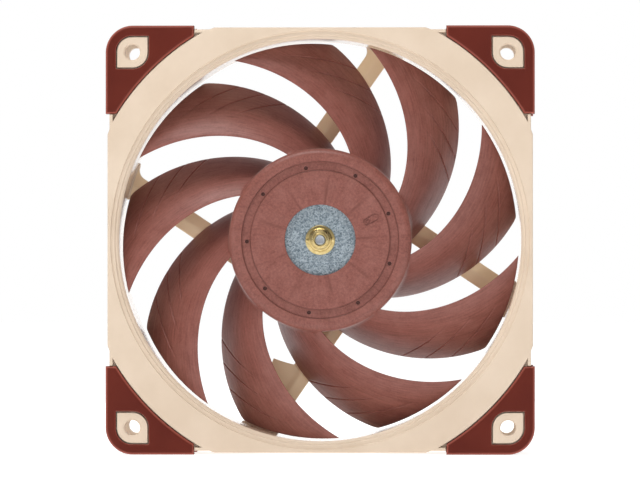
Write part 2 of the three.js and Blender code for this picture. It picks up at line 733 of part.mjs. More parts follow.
function addRotor(parent) {
  piece(parent, "impeller", impeller(), "impeller");
  piece(parent, "rotor_cup", rotorCup(), "zinc");
  piece(parent, "ring_magnet", ring(MAGNET_INNER, MAGNET_OUTER, MAGNET_FRONT, MAGNET_BACK), "magnet");
  piece(parent, "hub_bushing", hubBushing(), "brass");
  piece(parent, "shaft", shaft(), "steel");
  piece(parent, "retaining_ring", retainingRing(), "steel");
}

function group(parent) {
  const made = new THREE.Group();
  parent.add(made);
  return made;
}

function caseFan() {
  const fan = new THREE.Group();
  const housingGroup = group(fan);
  piece(housingGroup, "frame", frame(), "frame");
  addPads(group(housingGroup), "front", ["top_right", "top_left", "bottom_left", "bottom_right"]);
  const rearPads = group(housingGroup);
  rearPads.rotation.z = Math.PI;
  addPads(rearPads, "rear", ["top_left", "top_right", "bottom_right", "bottom_left"]);
  const labelFront = FAN_DEPTH - PAD_PROUD - LABEL_RECESS + 0.1;
  piece(housingGroup, "rear_label", disc(LABEL_RADIUS, labelFront, labelFront + LABEL_THICKNESS), "label");
  addBearing(group(fan));
  addStator(group(fan));
  addBoard(group(fan));
  addRotor(group(fan));
  return fan;
}

export default caseFan();
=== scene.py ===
import math

import bmesh
import bpy
from mathutils import Matrix, Vector


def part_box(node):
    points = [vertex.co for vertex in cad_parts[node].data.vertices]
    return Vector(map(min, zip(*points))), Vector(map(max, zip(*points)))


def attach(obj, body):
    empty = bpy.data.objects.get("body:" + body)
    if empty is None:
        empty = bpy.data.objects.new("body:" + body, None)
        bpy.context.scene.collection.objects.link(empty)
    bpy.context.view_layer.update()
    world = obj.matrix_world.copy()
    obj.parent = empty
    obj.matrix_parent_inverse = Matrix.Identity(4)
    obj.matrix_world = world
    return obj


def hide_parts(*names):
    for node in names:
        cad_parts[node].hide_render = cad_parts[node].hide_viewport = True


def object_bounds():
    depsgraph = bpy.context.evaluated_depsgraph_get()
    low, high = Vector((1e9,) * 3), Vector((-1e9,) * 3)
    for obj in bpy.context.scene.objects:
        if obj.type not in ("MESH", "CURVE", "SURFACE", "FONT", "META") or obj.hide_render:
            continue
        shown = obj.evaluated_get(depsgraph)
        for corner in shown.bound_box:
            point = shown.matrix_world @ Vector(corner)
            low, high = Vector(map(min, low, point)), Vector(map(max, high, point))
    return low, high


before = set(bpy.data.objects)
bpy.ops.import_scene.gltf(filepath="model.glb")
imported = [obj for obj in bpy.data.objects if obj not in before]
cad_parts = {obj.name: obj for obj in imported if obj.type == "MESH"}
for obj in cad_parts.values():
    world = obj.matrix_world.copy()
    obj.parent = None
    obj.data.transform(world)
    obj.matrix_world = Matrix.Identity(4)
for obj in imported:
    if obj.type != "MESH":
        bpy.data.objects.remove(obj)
CAD_LOW, CAD_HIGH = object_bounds()

MM = 0.001


# Sizes read from the frame.


def node_radius(node):
    """How far the node's furthest point is from the rotor's axis."""
    return max(math.hypot(v.co.x, v.co.z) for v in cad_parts[node].data.vertices) / MM


def node_depths(node):
    """(front, back) of a node, as depths."""
    low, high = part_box(node)
    return (low.y - CAD_LOW.y) / MM, (high.y - CAD_LOW.y) / MM


FAN_HALF = CAD_HIGH.x / MM
FAN_DEPTH = (CAD_HIGH.y - CAD_LOW.y) / MM
FRAME_FRONT, FRAME_BACK = node_depths("frame")
FRAME_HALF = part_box("frame")[1].x / MM
PAD_DEPTH = node_depths("pad_front_top_right")[1]
PAD_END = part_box("pad_front_top_right")[0].x / MM
TIP_RADIUS = node_radius("impeller")
HUB_FRONT, HUB_BACK = node_depths("impeller")[0], node_depths("rotor_cup")[1] + 0.8
LABEL_RADIUS = node_radius("rear_label")
LABEL_FRONT, LABEL_BACK = node_depths("rear_label")
SHAFT_RADIUS = node_radius("shaft")
SHAFT_FRONT, SHAFT_BACK = node_depths("shaft")
BUSHING_FRONT, BUSHING_BACK = node_depths("hub_bushing")
BUSHING_RADIUS = node_radius("hub_bushing")

# Frame.
CORNER_HALF = 58.9  # half the frame's width near the corners, where the pads wrap it
FLAT_HALF = 29.5  # half the length of the full-width stretch of each side
FLAT_RAMP = 1.5
CORNER_CENTRE = 52.4  # centre of every corner radius, on both axes
FLANGE_THICKNESS = 4.4
DUCT_OUTER = 58.6
DUCT_RADIUS = 56.25
STEP_RADIUS = 57.35  # inner step of the inlet
RIM_RADIUS = 58.55  # outer step of the inlet
STEP_RISE = 0.55
STEP_DRAFT = 0.1
SIDE_PANEL_HALF = 18
SIDE_PANEL_FACE = 59.1
HOLE_CENTRE = 52.5  # the screw holes are on a 105 mm square
HOLE_RADIUS = 2.15
HOLE_CHAMFER = 0.35
FRAME_ROUNDING = 0.35

# Corner pads.
PAD_ARC = 67  # radius of the pad's inner edge
PAD_FACE = 2
PAD_SKIRT = 0.9
PAD_LIP = 2.1
LIP_FRONT = 4.9
PAD_ROUNDING = 1.1
POCKET_ARC = 66.75
POCKET_RIM = 58
POCKET_FLOOR = 2.3
POCKET_CLEARANCE = 0.2
BOSS_HALF = 4.275  # half the width of the leaf-shaped boss round each screw hole
BOSS_GAP = 0.35

# Struts and motor base.
STRUT_HALF = 3.1
STRUT_OFFSET = 16.7  # distance of each strut's centre line from the axis
STRUT_ANGLES = (54.9, 146.1, 235.4, 326.2)
CABLE_STRUT = STRUT_ANGLES[2]
STRUT_RIDGE = 21.7
STRUT_SHOULDER = 22.6
STRUT_START = 14
STRUT_END = 55.2
STRUT_FILLET = 3
FILLET_STEP = 0.35  # spacing of the strut's sections along its fillets
FILLET_STEPS = 18
STRUT_SINK = 0.06  # how far the struts' backs are in from the frame's
PLATE_INNER = 36.1  # inner radius of the plate beside the cable strut
PLATE_START = 247.9
PLATE_CORNER = 262
PLATE_FRONT = 22.2
CHANNEL_HALF = 2.2
CHANNEL_DEPTH = 1.9
CHANNEL_END = 64
BASE_RADIUS = 25.2
BASE_INNER = 23.6
BASE_FRONT = 21.3
BASE_FLOOR = 22.6
LABEL_RECESS = 0.45
TUBE_BOSS_RADIUS = 6
TUBE_BOSS_FRONT = 17.6
SOCKET_RADIUS = 4.25
SOCKET_BACK = 23.5

# Impeller.
BLADES = 9
HUB_RADIUS = 25.65
HUB_ROUNDING = 2
HUB_WALL_INNER = 24.2
HUB_PLATE_BACK = 2.8
GROOVE_OUTER = 22  # the ring-shaped groove in the hub's face
GROOVE_INNER = 19.5
GROOVE_DEPTH = 0.6
DIMPLE_CIRCLE = 20.5
DIMPLE_RADIUS = 0.55
DIMPLE_DEPTH = 0.35
DIMPLE_ANGLE = 21.2
HUB_OPENING = 9.9
ROOT_RADIUS = 24.9
TIP_CORNER_ANGLE = 35.4  # angle of one blade's leading tip corner
# Angle of each edge of the blade at 0 degrees, as a cubic in the share of the span from hub to tip.
LEADING_EDGE = (30.8, 50, -9.6, 4.3)
TRAILING_EDGE = (1.1, 60.2, -26.3, 11.9)
LEADING_DEPTH = (3.1, 2.5)  # at the hub and at the tip
TRAILING_DEPTH = (20.2, 20.8)
BLADE_THICKNESS = (1.9, 1.2)
EDGE_THICKNESS = 0.4
CAMBER = 0.07
ROOT_FILLET = 0.8
TIP_CORNER_ROUNDING = 0.7
CHORD_STEPS = 44
SPAN_STEPS = 40
# Each blade has three flow grooves, from the trailing edge to well over half way across its front.
FLOW_GROOVE_RADII = (49.3, 44.3, 39.7)  # where they start, at the trailing edge
FLOW_GROOVE_RISE = 3.3
FLOW_GROOVE_REACH = 0.7  # as a share of the chord
FLOW_GROOVE_DEPTH = 0.28
FLOW_GROOVE_HALF = 0.32
# The oval mould mark in the hub's face.
MARK_PLACE = (15.4, 22)  # radius and angle
MARK_TILT = 29
MARK_LENGTH = 4.8
MARK_WIDTH = 2.1
MARK_LINE = 0.35
MARK_DEPTH = 0.25
MARK_RING_INSET = 1.3  # how far the small ring's centre is from the oval's end
# The fibres of the impeller's plastic.
STREAK_RADIUS = 30  # where a streak is as wide as its grain
STREAK_STRETCH = 0.09  # its width as a share of its length

ROUND_STEPS = 160
DUCT_STEPS = 360


# Outlines and profiles.


def polar(radius, angle):
    return radius * math.cos(math.radians(angle)), radius * math.sin(math.radians(angle))


def arc(centre, radius, start, end, steps):
    """Points on an arc, both ends included."""
    angles = [start + (end - start) * step / steps for step in range(steps + 1)]
    return [(centre[0] + polar(radius, a)[0], centre[1] + polar(radius, a)[1]) for a in angles]


def filleted(corners, steps=4):
    """A closed outline of (x, y, radius) corners, with each corner rounded to its radius."""
    outline = []
    for index, (x, y, radius) in enumerate(corners):
        corner = Vector((x, y))
        if radius == 0:
            outline.append((x, y))
            continue
        before = (Vector(corners[index - 1][:2]) - corner).normalized()
        after = (Vector(corners[(index + 1) % len(corners)][:2]) - corner).normalized()
        half = before.angle(after) / 2
        centre = corner + (before + after).normalized() * (radius / math.sin(half))
        first = corner + before * (radius / math.tan(half)) - centre
        last = corner + after * (radius / math.tan(half)) - centre
        start = math.degrees(math.atan2(first.y, first.x))
        sweep = math.degrees(math.atan2(last.y, last.x)) - start
        sweep = (sweep + 180) % 360 - 180
        outline += arc(centre, radius, start, start + sweep, steps)
    return outline


def drawn_back(distance, radius):
    """How far a rounded edge has left its straight line, at this distance past the straight's end."""
    return radius - math.sqrt(radius**2 - min(max(0, distance), radius) ** 2)


def inset(outline, distance):
    """The outline moved inwards, with mitred corners. It runs anticlockwise."""
    moved = []
    for index, point in enumerate(outline):
        here = Vector(point)
        before = (here - Vector(outline[index - 1])).normalized()
        after = (Vector(outline[(index + 1) % len(outline)]) - here).normalized()
        first = Vector((-before.y, before.x))
        second = Vector((-after.y, after.x))
        moved.append(tuple(here + (first + second) * (distance / (1 + first.dot(second)))))
    return moved


def rounded_layers(front, back, front_radius, back_radius, steps=4):
    """Layers of a slab as (depth, inset), with both of its edges rounded."""
    quarter = [math.radians(90 * step / steps) for step in range(steps + 1)]
    first = [
        (front + front_radius * (1 - math.cos(a)), front_radius * (1 - math.sin(a))) for a in quarter
    ]
    last = [(back - back_radius * (1 - math.cos(a)), back_radius * (1 - math.sin(a))) for a in quarter]
    return first + last[::-1]


def flared_layers(face, bottom, radius, steps=3):
    """Layers of a cutter that starts in front of a face and leaves a rounded edge where it meets it."""
    quarter = [math.radians(90 * step / steps) for step in range(steps + 1)]
    flare = [(face + radius * (1 - math.cos(a)), -radius * (1 - math.sin(a))) for a in quarter]
    return [(face - 1, -radius)] + flare + [(bottom, 0)]


# Shapes.


def at_depth(depth):
    return depth - FAN_DEPTH / 2


def side_faces(total, count, ring=False):
    """Faces from each outline of count points to the next, and in a ring from the last to the first."""
    faces = []
    for start in range(0, total if ring else total - count, count):
        for index in range(count):
            a = start + index
            b = start + (index + 1) % count
            faces.append((a, (a + count) % total, (b + count) % total, b))
    return faces


def capped(points, count):
    """The shape whose skin runs over a stack of outlines of count points each, closed at both ends."""
    total = len(points)
    ends = [tuple(range(count)), tuple(range(total - 1, total - 1 - count, -1))]
    return points, ends + side_faces(total, count)


def slab(outline, layers):
    """An outline seen from the front, stacked at each layer's depth with that layer's inset."""
    points = []
    for depth, distance in layers:
        points += [(x, at_depth(depth), z) for x, z in inset(outline, distance)]
    return capped(points, len(outline))


def prism(outline, front, back):
    return slab(outline, [(front, 0), (back, 0)])


def lathe(profile, steps=ROUND_STEPS):
    """A closed profile of (radius, depth) points turned about the rotor's axis."""
    points = []
    rings = []
    for radius, depth in profile:
        if radius < 1e-6:
            rings.append([len(points)] * steps)
            points.append((0, at_depth(depth), 0))
            continue
        rings.append(list(range(len(points), len(points) + steps)))
        for step in range(steps):
            x, z = polar(radius, 360 * step / steps)
            points.append((x, at_depth(depth), z))
    faces = []
    for index, ring in enumerate(rings):
        following = rings[(index + 1) % len(rings)]
        for step in range(steps):
            after = (step + 1) % steps
            face = [ring[step], ring[after], following[after], following[step]]
            face = list(dict.fromkeys(face))
            if len(face) > 2:
                faces.append(tuple(face))
    return points, faces


def moved(shape, matrix):
    return [tuple(matrix @ Vector(point)) for point in shape[0]], shape[1]


def turned(shape, angle):
    """The shape turned anticlockwise as seen from the front."""
    return moved(shape, Matrix.Rotation(-math.radians(angle), 3, "Y"))


def turned_over(shape):
    """The shape turned half round about the upright axis, from the front to the back."""
    return moved(shape, Matrix.Rotation(math.pi, 3, "Z"))


def shifted(shape, x, z):
    return [(px + x, py, pz + z) for px, py, pz in shape[0]], shape[1]


def together(*shapes):
    points = []
    faces = []
    for shape_points, shape_faces in shapes:
        start = len(points)
        points += shape_points
        faces += [tuple(number + start for number in face) for face in shape_faces]
    return points, faces


def at_each_corner(shape):
    """The shape of the front's top right corner, at all eight corners."""
    front = [turned(shape, 90 * quarter) for quarter in range(4)]
    return together(*front, *(turned_over(one) for one in front))


# Objects.


def make_object(name, shape):
    """A mesh object of the shape, in the shape's own units."""
    mesh = bpy.data.meshes.new(name)
    points, faces = shape
    mesh.from_pydata(points, [], faces)
    shell = bmesh.new()
    shell.from_mesh(mesh)
    bmesh.ops.recalc_face_normals(shell, faces=shell.faces)
    shell.to_mesh(mesh)
    shell.free()
    made = bpy.data.objects.new(name, mesh)
    bpy.context.scene.collection.objects.link(made)
    return made


def weld(piece):
    """Joins points that lie within a micrometre of each other."""
    shell = bmesh.new()
    shell.from_mesh(piece.data)
    bmesh.ops.remove_doubles(shell, verts=shell.verts, dist=0.001)
    shell.to_mesh(piece.data)
    shell.free()


def combine(base, operation, *shapes):
    """Cuts each shape from the object, or joins it to the object, as operation says."""
    for shape in shapes:
        tool = make_object("tool", shape)
        modifier = base.modifiers.new(operation, "BOOLEAN")
        modifier.operation = operation
        modifier.solver = "EXACT"
        modifier.object = tool
        scene_state = bpy.context.evaluated_depsgraph_get()
        result = bpy.data.meshes.new_from_object(base.evaluated_get(scene_state))
        base.modifiers.clear()
        old = base.data
        base.data = result
        bpy.data.meshes.remove(old)
        bpy.data.objects.remove(tool)
        weld(base)
    return base


def add_shape(base, shape):
    """Adds a closed shape to the object as a shell of its own."""
    extra = make_object("extra", shape)
    both = bmesh.new()
    both.from_mesh(base.data)
    both.from_mesh(extra.data)
    both.to_mesh(base.data)
    both.free()
    bpy.data.objects.remove(extra)
    return base


def smooth(piece, angle=32):
    piece.data.shade_smooth()
    piece.data.set_sharp_from_angle(angle=math.radians(angle))
    modifier = piece.modifiers.new("normals", "WEIGHTED_NORMAL")
    modifier.keep_sharp = True
    return piece


def install(piece, body, material, slot_name, *nodes):
    """Finishes a piece: its scale, its material, the body it rides on and the CAD nodes it stands for."""
    piece.data.transform(Matrix.Scale(MM, 4))
    piece.data.materials.clear()
    piece.data.materials.append(material)
    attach(piece, body)
    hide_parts(*nodes)
    return piece


# Frame.


def frame_outline():
    """The frame's square outline: full width mid-side, a little narrower at its rounded corners."""
    radius = CORNER_HALF - CORNER_CENTRE
    quarter = [(FRAME_HALF, FLAT_HALF), (CORNER_HALF, FLAT_HALF + FLAT_RAMP)]
    quarter += arc((CORNER_CENTRE, CORNER_CENTRE), radius, 0, 90, 16)
    quarter += [(FLAT_HALF + FLAT_RAMP, CORNER_HALF), (FLAT_HALF, FRAME_HALF)]
    outline = []
    for turn in range(4):
        cosine, sine = polar(1, 90 * turn)
        outline += [(x * cosine - z * sine, x * sine + z * cosine) for x, z in quarter]
    return outline


def leaf_outline(half):
    """A square round the screw hole with its outer and inner corners fully rounded."""
    low = HOLE_CENTRE - half
    high = HOLE_CENTRE + half
    round_corner = half * 0.98
    square_corner = 0.25
    corners = [
        (high, low, square_corner),
        (high, high, round_corner),
        (low, high, square_corner),
        (low, low, round_corner),
    ]
    return filleted(corners, 14)


def pocket_outline():
    """The pocket that a pad sits in: a wedge behind a thin rim, open where the pad covers it."""
    open_from = PAD_END - POCKET_CLEARANCE
    beyond = 2 * FAN_HALF
    tip = math.degrees(math.acos(POCKET_RIM / POCKET_ARC))
    edge = arc((0, 0), POCKET_ARC, tip, 90 - tip, 40)
    outside = [
        (open_from, POCKET_RIM),
        (open_from, beyond),
        (beyond, beyond),
        (beyond, open_from),
        (POCKET_RIM, open_from),
    ]
    return (edge + outside)[::-1]


def screw_hole():
    """A screw hole from front to back, chamfered at both ends."""
    wide = HOLE_RADIUS + 1
    front = FRAME_FRONT + HOLE_CHAMFER
    back = FRAME_BACK - HOLE_CHAMFER
    profile = [
        (0, front - 1),
        (wide, front - 1),
        (HOLE_RADIUS, front),
        (HOLE_RADIUS, back),
        (wide, back + 1),
        (0, back + 1),
    ]
    return shifted(lathe(profile, 48), HOLE_CENTRE, HOLE_CENTRE)


def duct_space():
    """The space that the air passes through, with the two steps of the inlet and rounded edges."""
    step_floor = FRAME_FRONT + STEP_RISE
    duct_front = FRAME_FRONT + 2 * STEP_RISE
    corners = [
        (0, -1, 0),
        (RIM_RADIUS + 1.2, FRAME_FRONT - 1, 0),
        (RIM_RADIUS + STEP_DRAFT, FRAME_FRONT, 0.22),
        (RIM_RADIUS, step_floor, 0.15),
        (STEP_RADIUS + STEP_DRAFT, step_floor, 0.22),
        (STEP_RADIUS, duct_front, 0.15),
        (DUCT_RADIUS + STEP_RISE, duct_front, 0.3),
        (DUCT_RADIUS, duct_front + STEP_RISE, 0.3),
        (DUCT_RADIUS, FRAME_BACK - STEP_RISE, 0.3),
        (DUCT_RADIUS + STEP_RISE + 1, FRAME_BACK + 1, 0),
        (0, FRAME_BACK + 1, 0),
    ]
    return lathe(filleted(corners, 3), DUCT_STEPS)


def side_panel():
    outline = [
        (DUCT_RADIUS + 0.8, -SIDE_PANEL_HALF),
        (SIDE_PANEL_FACE, -SIDE_PANEL_HALF),
        (SIDE_PANEL_FACE, SIDE_PANEL_HALF),
        (DUCT_RADIUS + 0.8, SIDE_PANEL_HALF),
    ]
    return prism(outline, FRAME_FRONT + 1, FRAME_BACK - 1)


def flange():
    layers = rounded_layers(FRAME_FRONT, FRAME_FRONT + FLANGE_THICKNESS, FRAME_ROUNDING, 0.2)
    return slab(frame_outline(), layers)


def strut_side(along, side):
    """Distance of the strut's side from its centre line, with a fillet where it meets the duct's wall."""
    wall = math.sqrt(DUCT_RADIUS**2 - (STRUT_OFFSET + side * STRUT_HALF) ** 2)
    return side * (STRUT_HALF + drawn_back(along - wall + STRUT_FILLET, STRUT_FILLET))


def strut(angle):
    """A bar with a low ridge along its front."""
    stations = [STRUT_START] + [STRUT_END - FILLET_STEP * step for step in reversed(range(FILLET_STEPS))]
    points = []
    for along in stations:
        inner = strut_side(along, -1)
        outer = strut_side(along, 1)
        section = filleted(
            [
                (inner, FRAME_BACK - STRUT_SINK, 0.25),
                (inner, STRUT_SHOULDER, 0.35),
                (0, STRUT_RIDGE, 2),
                (outer, STRUT_SHOULDER, 0.35),
                (outer, FRAME_BACK - STRUT_SINK, 0.25),
            ],
            3,
        )
        points += [(along, at_depth(depth), STRUT_OFFSET + across) for across, depth in section]
    return turned(capped(points, len(section)), angle)


def cable_plate():
    """The flat plate that widens the cable strut towards the duct wall."""
    outer = DUCT_RADIUS + 1
    strut_angle = CABLE_STRUT + math.degrees(math.asin(STRUT_OFFSET / outer))
    outline = arc((0, 0), outer, PLATE_START, strut_angle, 30)
    outline += arc((0, 0), PLATE_INNER, PLATE_CORNER, PLATE_START, 18)
    return slab(outline, rounded_layers(PLATE_FRONT, FRAME_BACK - 2 * STRUT_SINK, 0.3, 0.2, 3))


def cable_channel():
    """The groove for the lead, open at the back, from the motor base to the frame's edge."""
    corners = [
        (FRAME_BACK - CHANNEL_DEPTH, -CHANNEL_HALF),
        (FRAME_BACK + 1, -CHANNEL_HALF),
        (FRAME_BACK + 1, CHANNEL_HALF),
        (FRAME_BACK - CHANNEL_DEPTH, CHANNEL_HALF),
    ]
    points = []
    for along in (STRUT_START, CHANNEL_END):
        points += [(along, at_depth(depth), STRUT_OFFSET + across) for depth, across in corners]
    return turned(capped(points, len(corners)), CABLE_STRUT)


def motor_base():
    """The dish behind the motor, with a recess for the label in its back."""
    corners = [
        (0, BASE_FLOOR, 0),
        (BASE_INNER, BASE_FLOOR, 0.3),
        (BASE_INNER, BASE_FRONT, 0.15),
        (BASE_RADIUS, BASE_FRONT, 0.3),
        (BASE_RADIUS, FRAME_BACK, 0.3),
        (LABEL_RADIUS + POCKET_CLEARANCE, FRAME_BACK, 0.1),
        (LABEL_RADIUS + POCKET_CLEARANCE, FRAME_BACK - LABEL_RECESS, 0),
        (0, FRAME_BACK - LABEL_RECESS, 0),
    ]
    return lathe(filleted(corners, 3))


def tube_boss():
    """The boss that holds the bearing tube."""
    corners = [
        (0, TUBE_BOSS_FRONT, 0),
        (TUBE_BOSS_RADIUS, TUBE_BOSS_FRONT, 0.3),
        (TUBE_BOSS_RADIUS, BASE_FLOOR + 0.4, 0),
        (0, BASE_FLOOR + 0.4, 0),
    ]
    return lathe(filleted(corners, 3), 64)


def tube_socket():
    """The space for the bearing tube, open at the front."""
    front = TUBE_BOSS_FRONT - 1
    return lathe([(0, front), (SOCKET_RADIUS, front), (SOCKET_RADIUS, SOCKET_BACK), (0, SOCKET_BACK)], 64)


def tube():
    """The duct's wall, still solid inside."""
    front = FRAME_FRONT + 1
    back = FRAME_BACK - 1
    return lathe([(0, front), (DUCT_OUTER, front), (DUCT_OUTER, back), (0, back)], DUCT_STEPS)


def make_frame():
    """The flanges, duct, struts and motor base as one moulding."""
    piece = make_object("fan_frame", flange())
    combine(piece, "UNION", turned_over(flange()), tube())
    combine(piece, "UNION", together(*(turned(side_panel(), 90 * side) for side in range(4))))
    pocket = slab(pocket_outline(), flared_layers(FRAME_FRONT, POCKET_FLOOR, 0.15))
    combine(piece, "DIFFERENCE", at_each_corner(pocket))
    boss = slab(leaf_outline(BOSS_HALF), rounded_layers(FRAME_FRONT, POCKET_FLOOR + 1, 0.2, 0))
    combine(piece, "UNION", at_each_corner(boss))
    combine(piece, "DIFFERENCE", duct_space())
    combine(piece, "DIFFERENCE", together(*(turned(screw_hole(), 90 * corner) for corner in range(4))))
    for angle in STRUT_ANGLES:
        combine(piece, "UNION", strut(angle))
    combine(piece, "UNION", cable_plate(), motor_base())
    combine(piece, "DIFFERENCE", cable_channel())
    combine(piece, "UNION", tube_boss())
    combine(piece, "DIFFERENCE", tube_socket())
    return smooth(piece)


# Pads.


def corner_outline(reach):
    """A square corner of the given reach, rounded like the frame's."""
    rounded = arc((CORNER_CENTRE, CORNER_CENTRE), reach - CORNER_CENTRE, 0, 90, 14)
    return [(0, 0), (reach, 0)] + rounded + [(0, reach)]


def pad_outline():
    tip = math.degrees(math.asin(PAD_END / PAD_ARC))
    outline = [(FAN_HALF, PAD_END)]
    outline += arc((CORNER_CENTRE, CORNER_CENTRE), FAN_HALF - CORNER_CENTRE, 0, 90, 20)
    outline += [(PAD_END, FAN_HALF)]
    outline += arc((0, 0), PAD_ARC, 90 - tip, tip, 36)
    return outline


def pad_shape():
    return slab(pad_outline(), rounded_layers(0, PAD_DEPTH, PAD_ROUNDING, 0.4, 6))


def make_pad(name, angle, at_back):
    """One corner pad: a face plate, a skirt down the flange's edge and a lip behind it."""
    hollow = prism(corner_outline(FAN_HALF - PAD_SKIRT), PAD_FACE, LIP_FRONT)
    mouth = prism(corner_outline(FAN_HALF - PAD_LIP), LIP_FRONT - 1, PAD_DEPTH + 1)
    window = slab(leaf_outline(BOSS_HALF + BOSS_GAP), flared_layers(0, PAD_FACE + 1, 0.3))
    shapes = [turned(shape, angle) for shape in (pad_shape(), hollow, mouth, window)]
    if at_back:
        shapes = [turned_over(shape) for shape in shapes]
    piece = make_object(name, shapes[0])
    return smooth(combine(piece, "DIFFERENCE", *shapes[1:]))


# Impeller.


def cubic(terms, t):
    a, b, c, d = terms
    return a + t * (b + t * (c + t * d))


def between(ends, t):
    return ends[0] + (ends[1] - ends[0]) * t


def hub_profile():
    floor = HUB_FRONT + GROOVE_DEPTH
    corners = [
        (HUB_OPENING, HUB_FRONT, 0.12),
        (GROOVE_INNER, HUB_FRONT, 0.12),
        (GROOVE_INNER + 0.06, floor, 0.08),
        (GROOVE_OUTER - 0.06, floor, 0.08),
        (GROOVE_OUTER, HUB_FRONT, 0.12),
        (HUB_RADIUS, HUB_FRONT, HUB_ROUNDING),
        (HUB_RADIUS, HUB_BACK, 0.3),
        (HUB_WALL_INNER, HUB_BACK, 0.2),
        (HUB_WALL_INNER, HUB_PLATE_BACK, 0.2),
        (HUB_OPENING, HUB_PLATE_BACK, 0),
    ]
    return filleted(corners, 6)


def dimple(angle):
    """The cutter for one small pit in the groove's floor."""
    mouth = DIMPLE_RADIUS + 0.1
    bottom = HUB_FRONT + GROOVE_DEPTH + DIMPLE_DEPTH
    pit = lathe([(0, HUB_FRONT), (mouth, HUB_FRONT), (DIMPLE_RADIUS, bottom), (0, bottom)], 20)
    return turned(shifted(pit, DIMPLE_CIRCLE, 0), angle)


def oval_line():
    """The engraved outline of the oval mould mark."""
    half = MARK_LENGTH / 2
    side = MARK_WIDTH / 2
    rounding = MARK_WIDTH * 0.48
    corners = [(half, -side), (half, side), (-half, side), (-half, -side)]
    outer = filleted([(x, z, rounding) for x, z in corners], 8)
    inner = inset(outer, MARK_LINE)
    front = HUB_FRONT - 0.5
    floor = HUB_FRONT + MARK_DEPTH
    points = []
    for outline, depth in ((outer, front), (outer, floor), (inner, floor), (inner, front)):
        points += [(x, at_depth(depth), z) for x, z in outline]
    return points, side_faces(len(points), len(outer), ring=True)


def mould_mark():
    """The oval with a small ring in its inner end."""
    outer = MARK_LINE * 1.8
    floor = HUB_FRONT + MARK_DEPTH
    ring = lathe([(MARK_LINE, 1), (outer, 1), (outer, floor), (MARK_LINE, floor)], 24)
    ring = shifted(ring, MARK_RING_INSET - MARK_LENGTH / 2, 0)
    return shifted(turned(together(oval_line(), ring), MARK_TILT), *polar(*MARK_PLACE))


def groove_shift(radius, chord):
    """How far a grid row of the blade moves outwards, so that rows run along the flow grooves."""
    share = min((1 - chord) / FLOW_GROOVE_REACH, 1.3)
    start = FLOW_GROOVE_RADII[-1] - 3
    end = FLOW_GROOVE_RADII[0] + 1.5
    if radius < start:
        weight = max(0, (radius - HUB_RADIUS) / (start - HUB_RADIUS))
    else:
        weight = min(1, max(0, (TIP_RADIUS - radius) / (TIP_RADIUS - end)))
    sag = 0.9 * share * (1 - share)
    return weight * (FLOW_GROOVE_RISE * share - sag)


def groove_depth(radius, chord):
    """Depth of the flow grooves at a row's own radius, before it is shifted."""
    share = (1 - chord) / FLOW_GROOVE_REACH
    fade = min(1, max(0, (1 - share) / 0.35))
    distance = min(abs(radius - start) for start in FLOW_GROOVE_RADII)
    return FLOW_GROOVE_DEPTH * fade * max(0, 1 - (distance / FLOW_GROOVE_HALF) ** 2)


def blade_point(row_radius, chord, side, nose=0):
    """One point of the blade's skin. Chord runs from 0 at the leading edge to 1 at the trailing edge, and
    side is 1 on the front face and -1 on the other. The section lies on a cylinder. Nose moves the point
    out past the edge."""
    radius = row_radius + groove_shift(row_radius, chord)
    height = max(0, radius - HUB_RADIUS)
    span = (radius - HUB_RADIUS) / (TIP_RADIUS - HUB_RADIUS)
    leading = (radius * math.radians(cubic(LEADING_EDGE, span)), between(LEADING_DEPTH, span))
    trailing = (radius * math.radians(cubic(TRAILING_EDGE, span)), between(TRAILING_DEPTH, span))
    run = (trailing[0] - leading[0], trailing[1] - leading[1])
    length = math.hypot(*run)
    fullness = 4 * chord * (1 - chord)
    fillet = drawn_back(ROOT_FILLET - height, ROOT_FILLET) * min(1, 3 * fullness)
    pulled = drawn_back(radius - TIP_RADIUS + TIP_CORNER_ROUNDING, TIP_CORNER_ROUNDING)
    edge = EDGE_THICKNESS + 2 * fillet
    thickness = edge + (between(BLADE_THICKNESS, span) - EDGE_THICKNESS) * fullness**0.7
    tip_rounding = 0.15 * max(0, 1 - (TIP_RADIUS - radius) / 0.15)
    half = thickness / 2 - tip_rounding
    if side > 0:
        half -= groove_depth(row_radius, chord)
    rise = CAMBER * length * fullness + side * half
    share = chord * (1 - pulled / length) + nose * EDGE_THICKNESS / 2 / length
    around = leading[0] + run[0] * share - run[1] / length * rise
    depth = leading[1] + run[1] * share + run[0] / length * rise
    angle = math.degrees(around / radius)
    x, z = polar(radius, angle)
    return x, at_depth(depth), z


def blade_rows():
    """Radii of the rows of the blade's grid, close together at its root, its grooves and its tip."""
    rows = [ROOT_RADIUS]
    rows += [HUB_RADIUS + ROOT_FILLET * share for share in (0, 0.03, 0.1, 0.25, 0.5, 0.75, 1)]
    close = [start + offset * FLOW_GROOVE_HALF for start in FLOW_GROOVE_RADII
             for offset in (-2, -1, -0.66, -0.33, 0, 0.33, 0.66, 1, 2)]
    step = (TIP_RADIUS - HUB_RADIUS) / SPAN_STEPS
    plain = [HUB_RADIUS + step * row for row in range(2, SPAN_STEPS)]
    rows += [radius for radius in plain if min(abs(radius - other) for other in close) > 0.4]
    rows += close + [TIP_RADIUS - 0.15, TIP_RADIUS - 0.05, TIP_RADIUS]
    return sorted(rows)


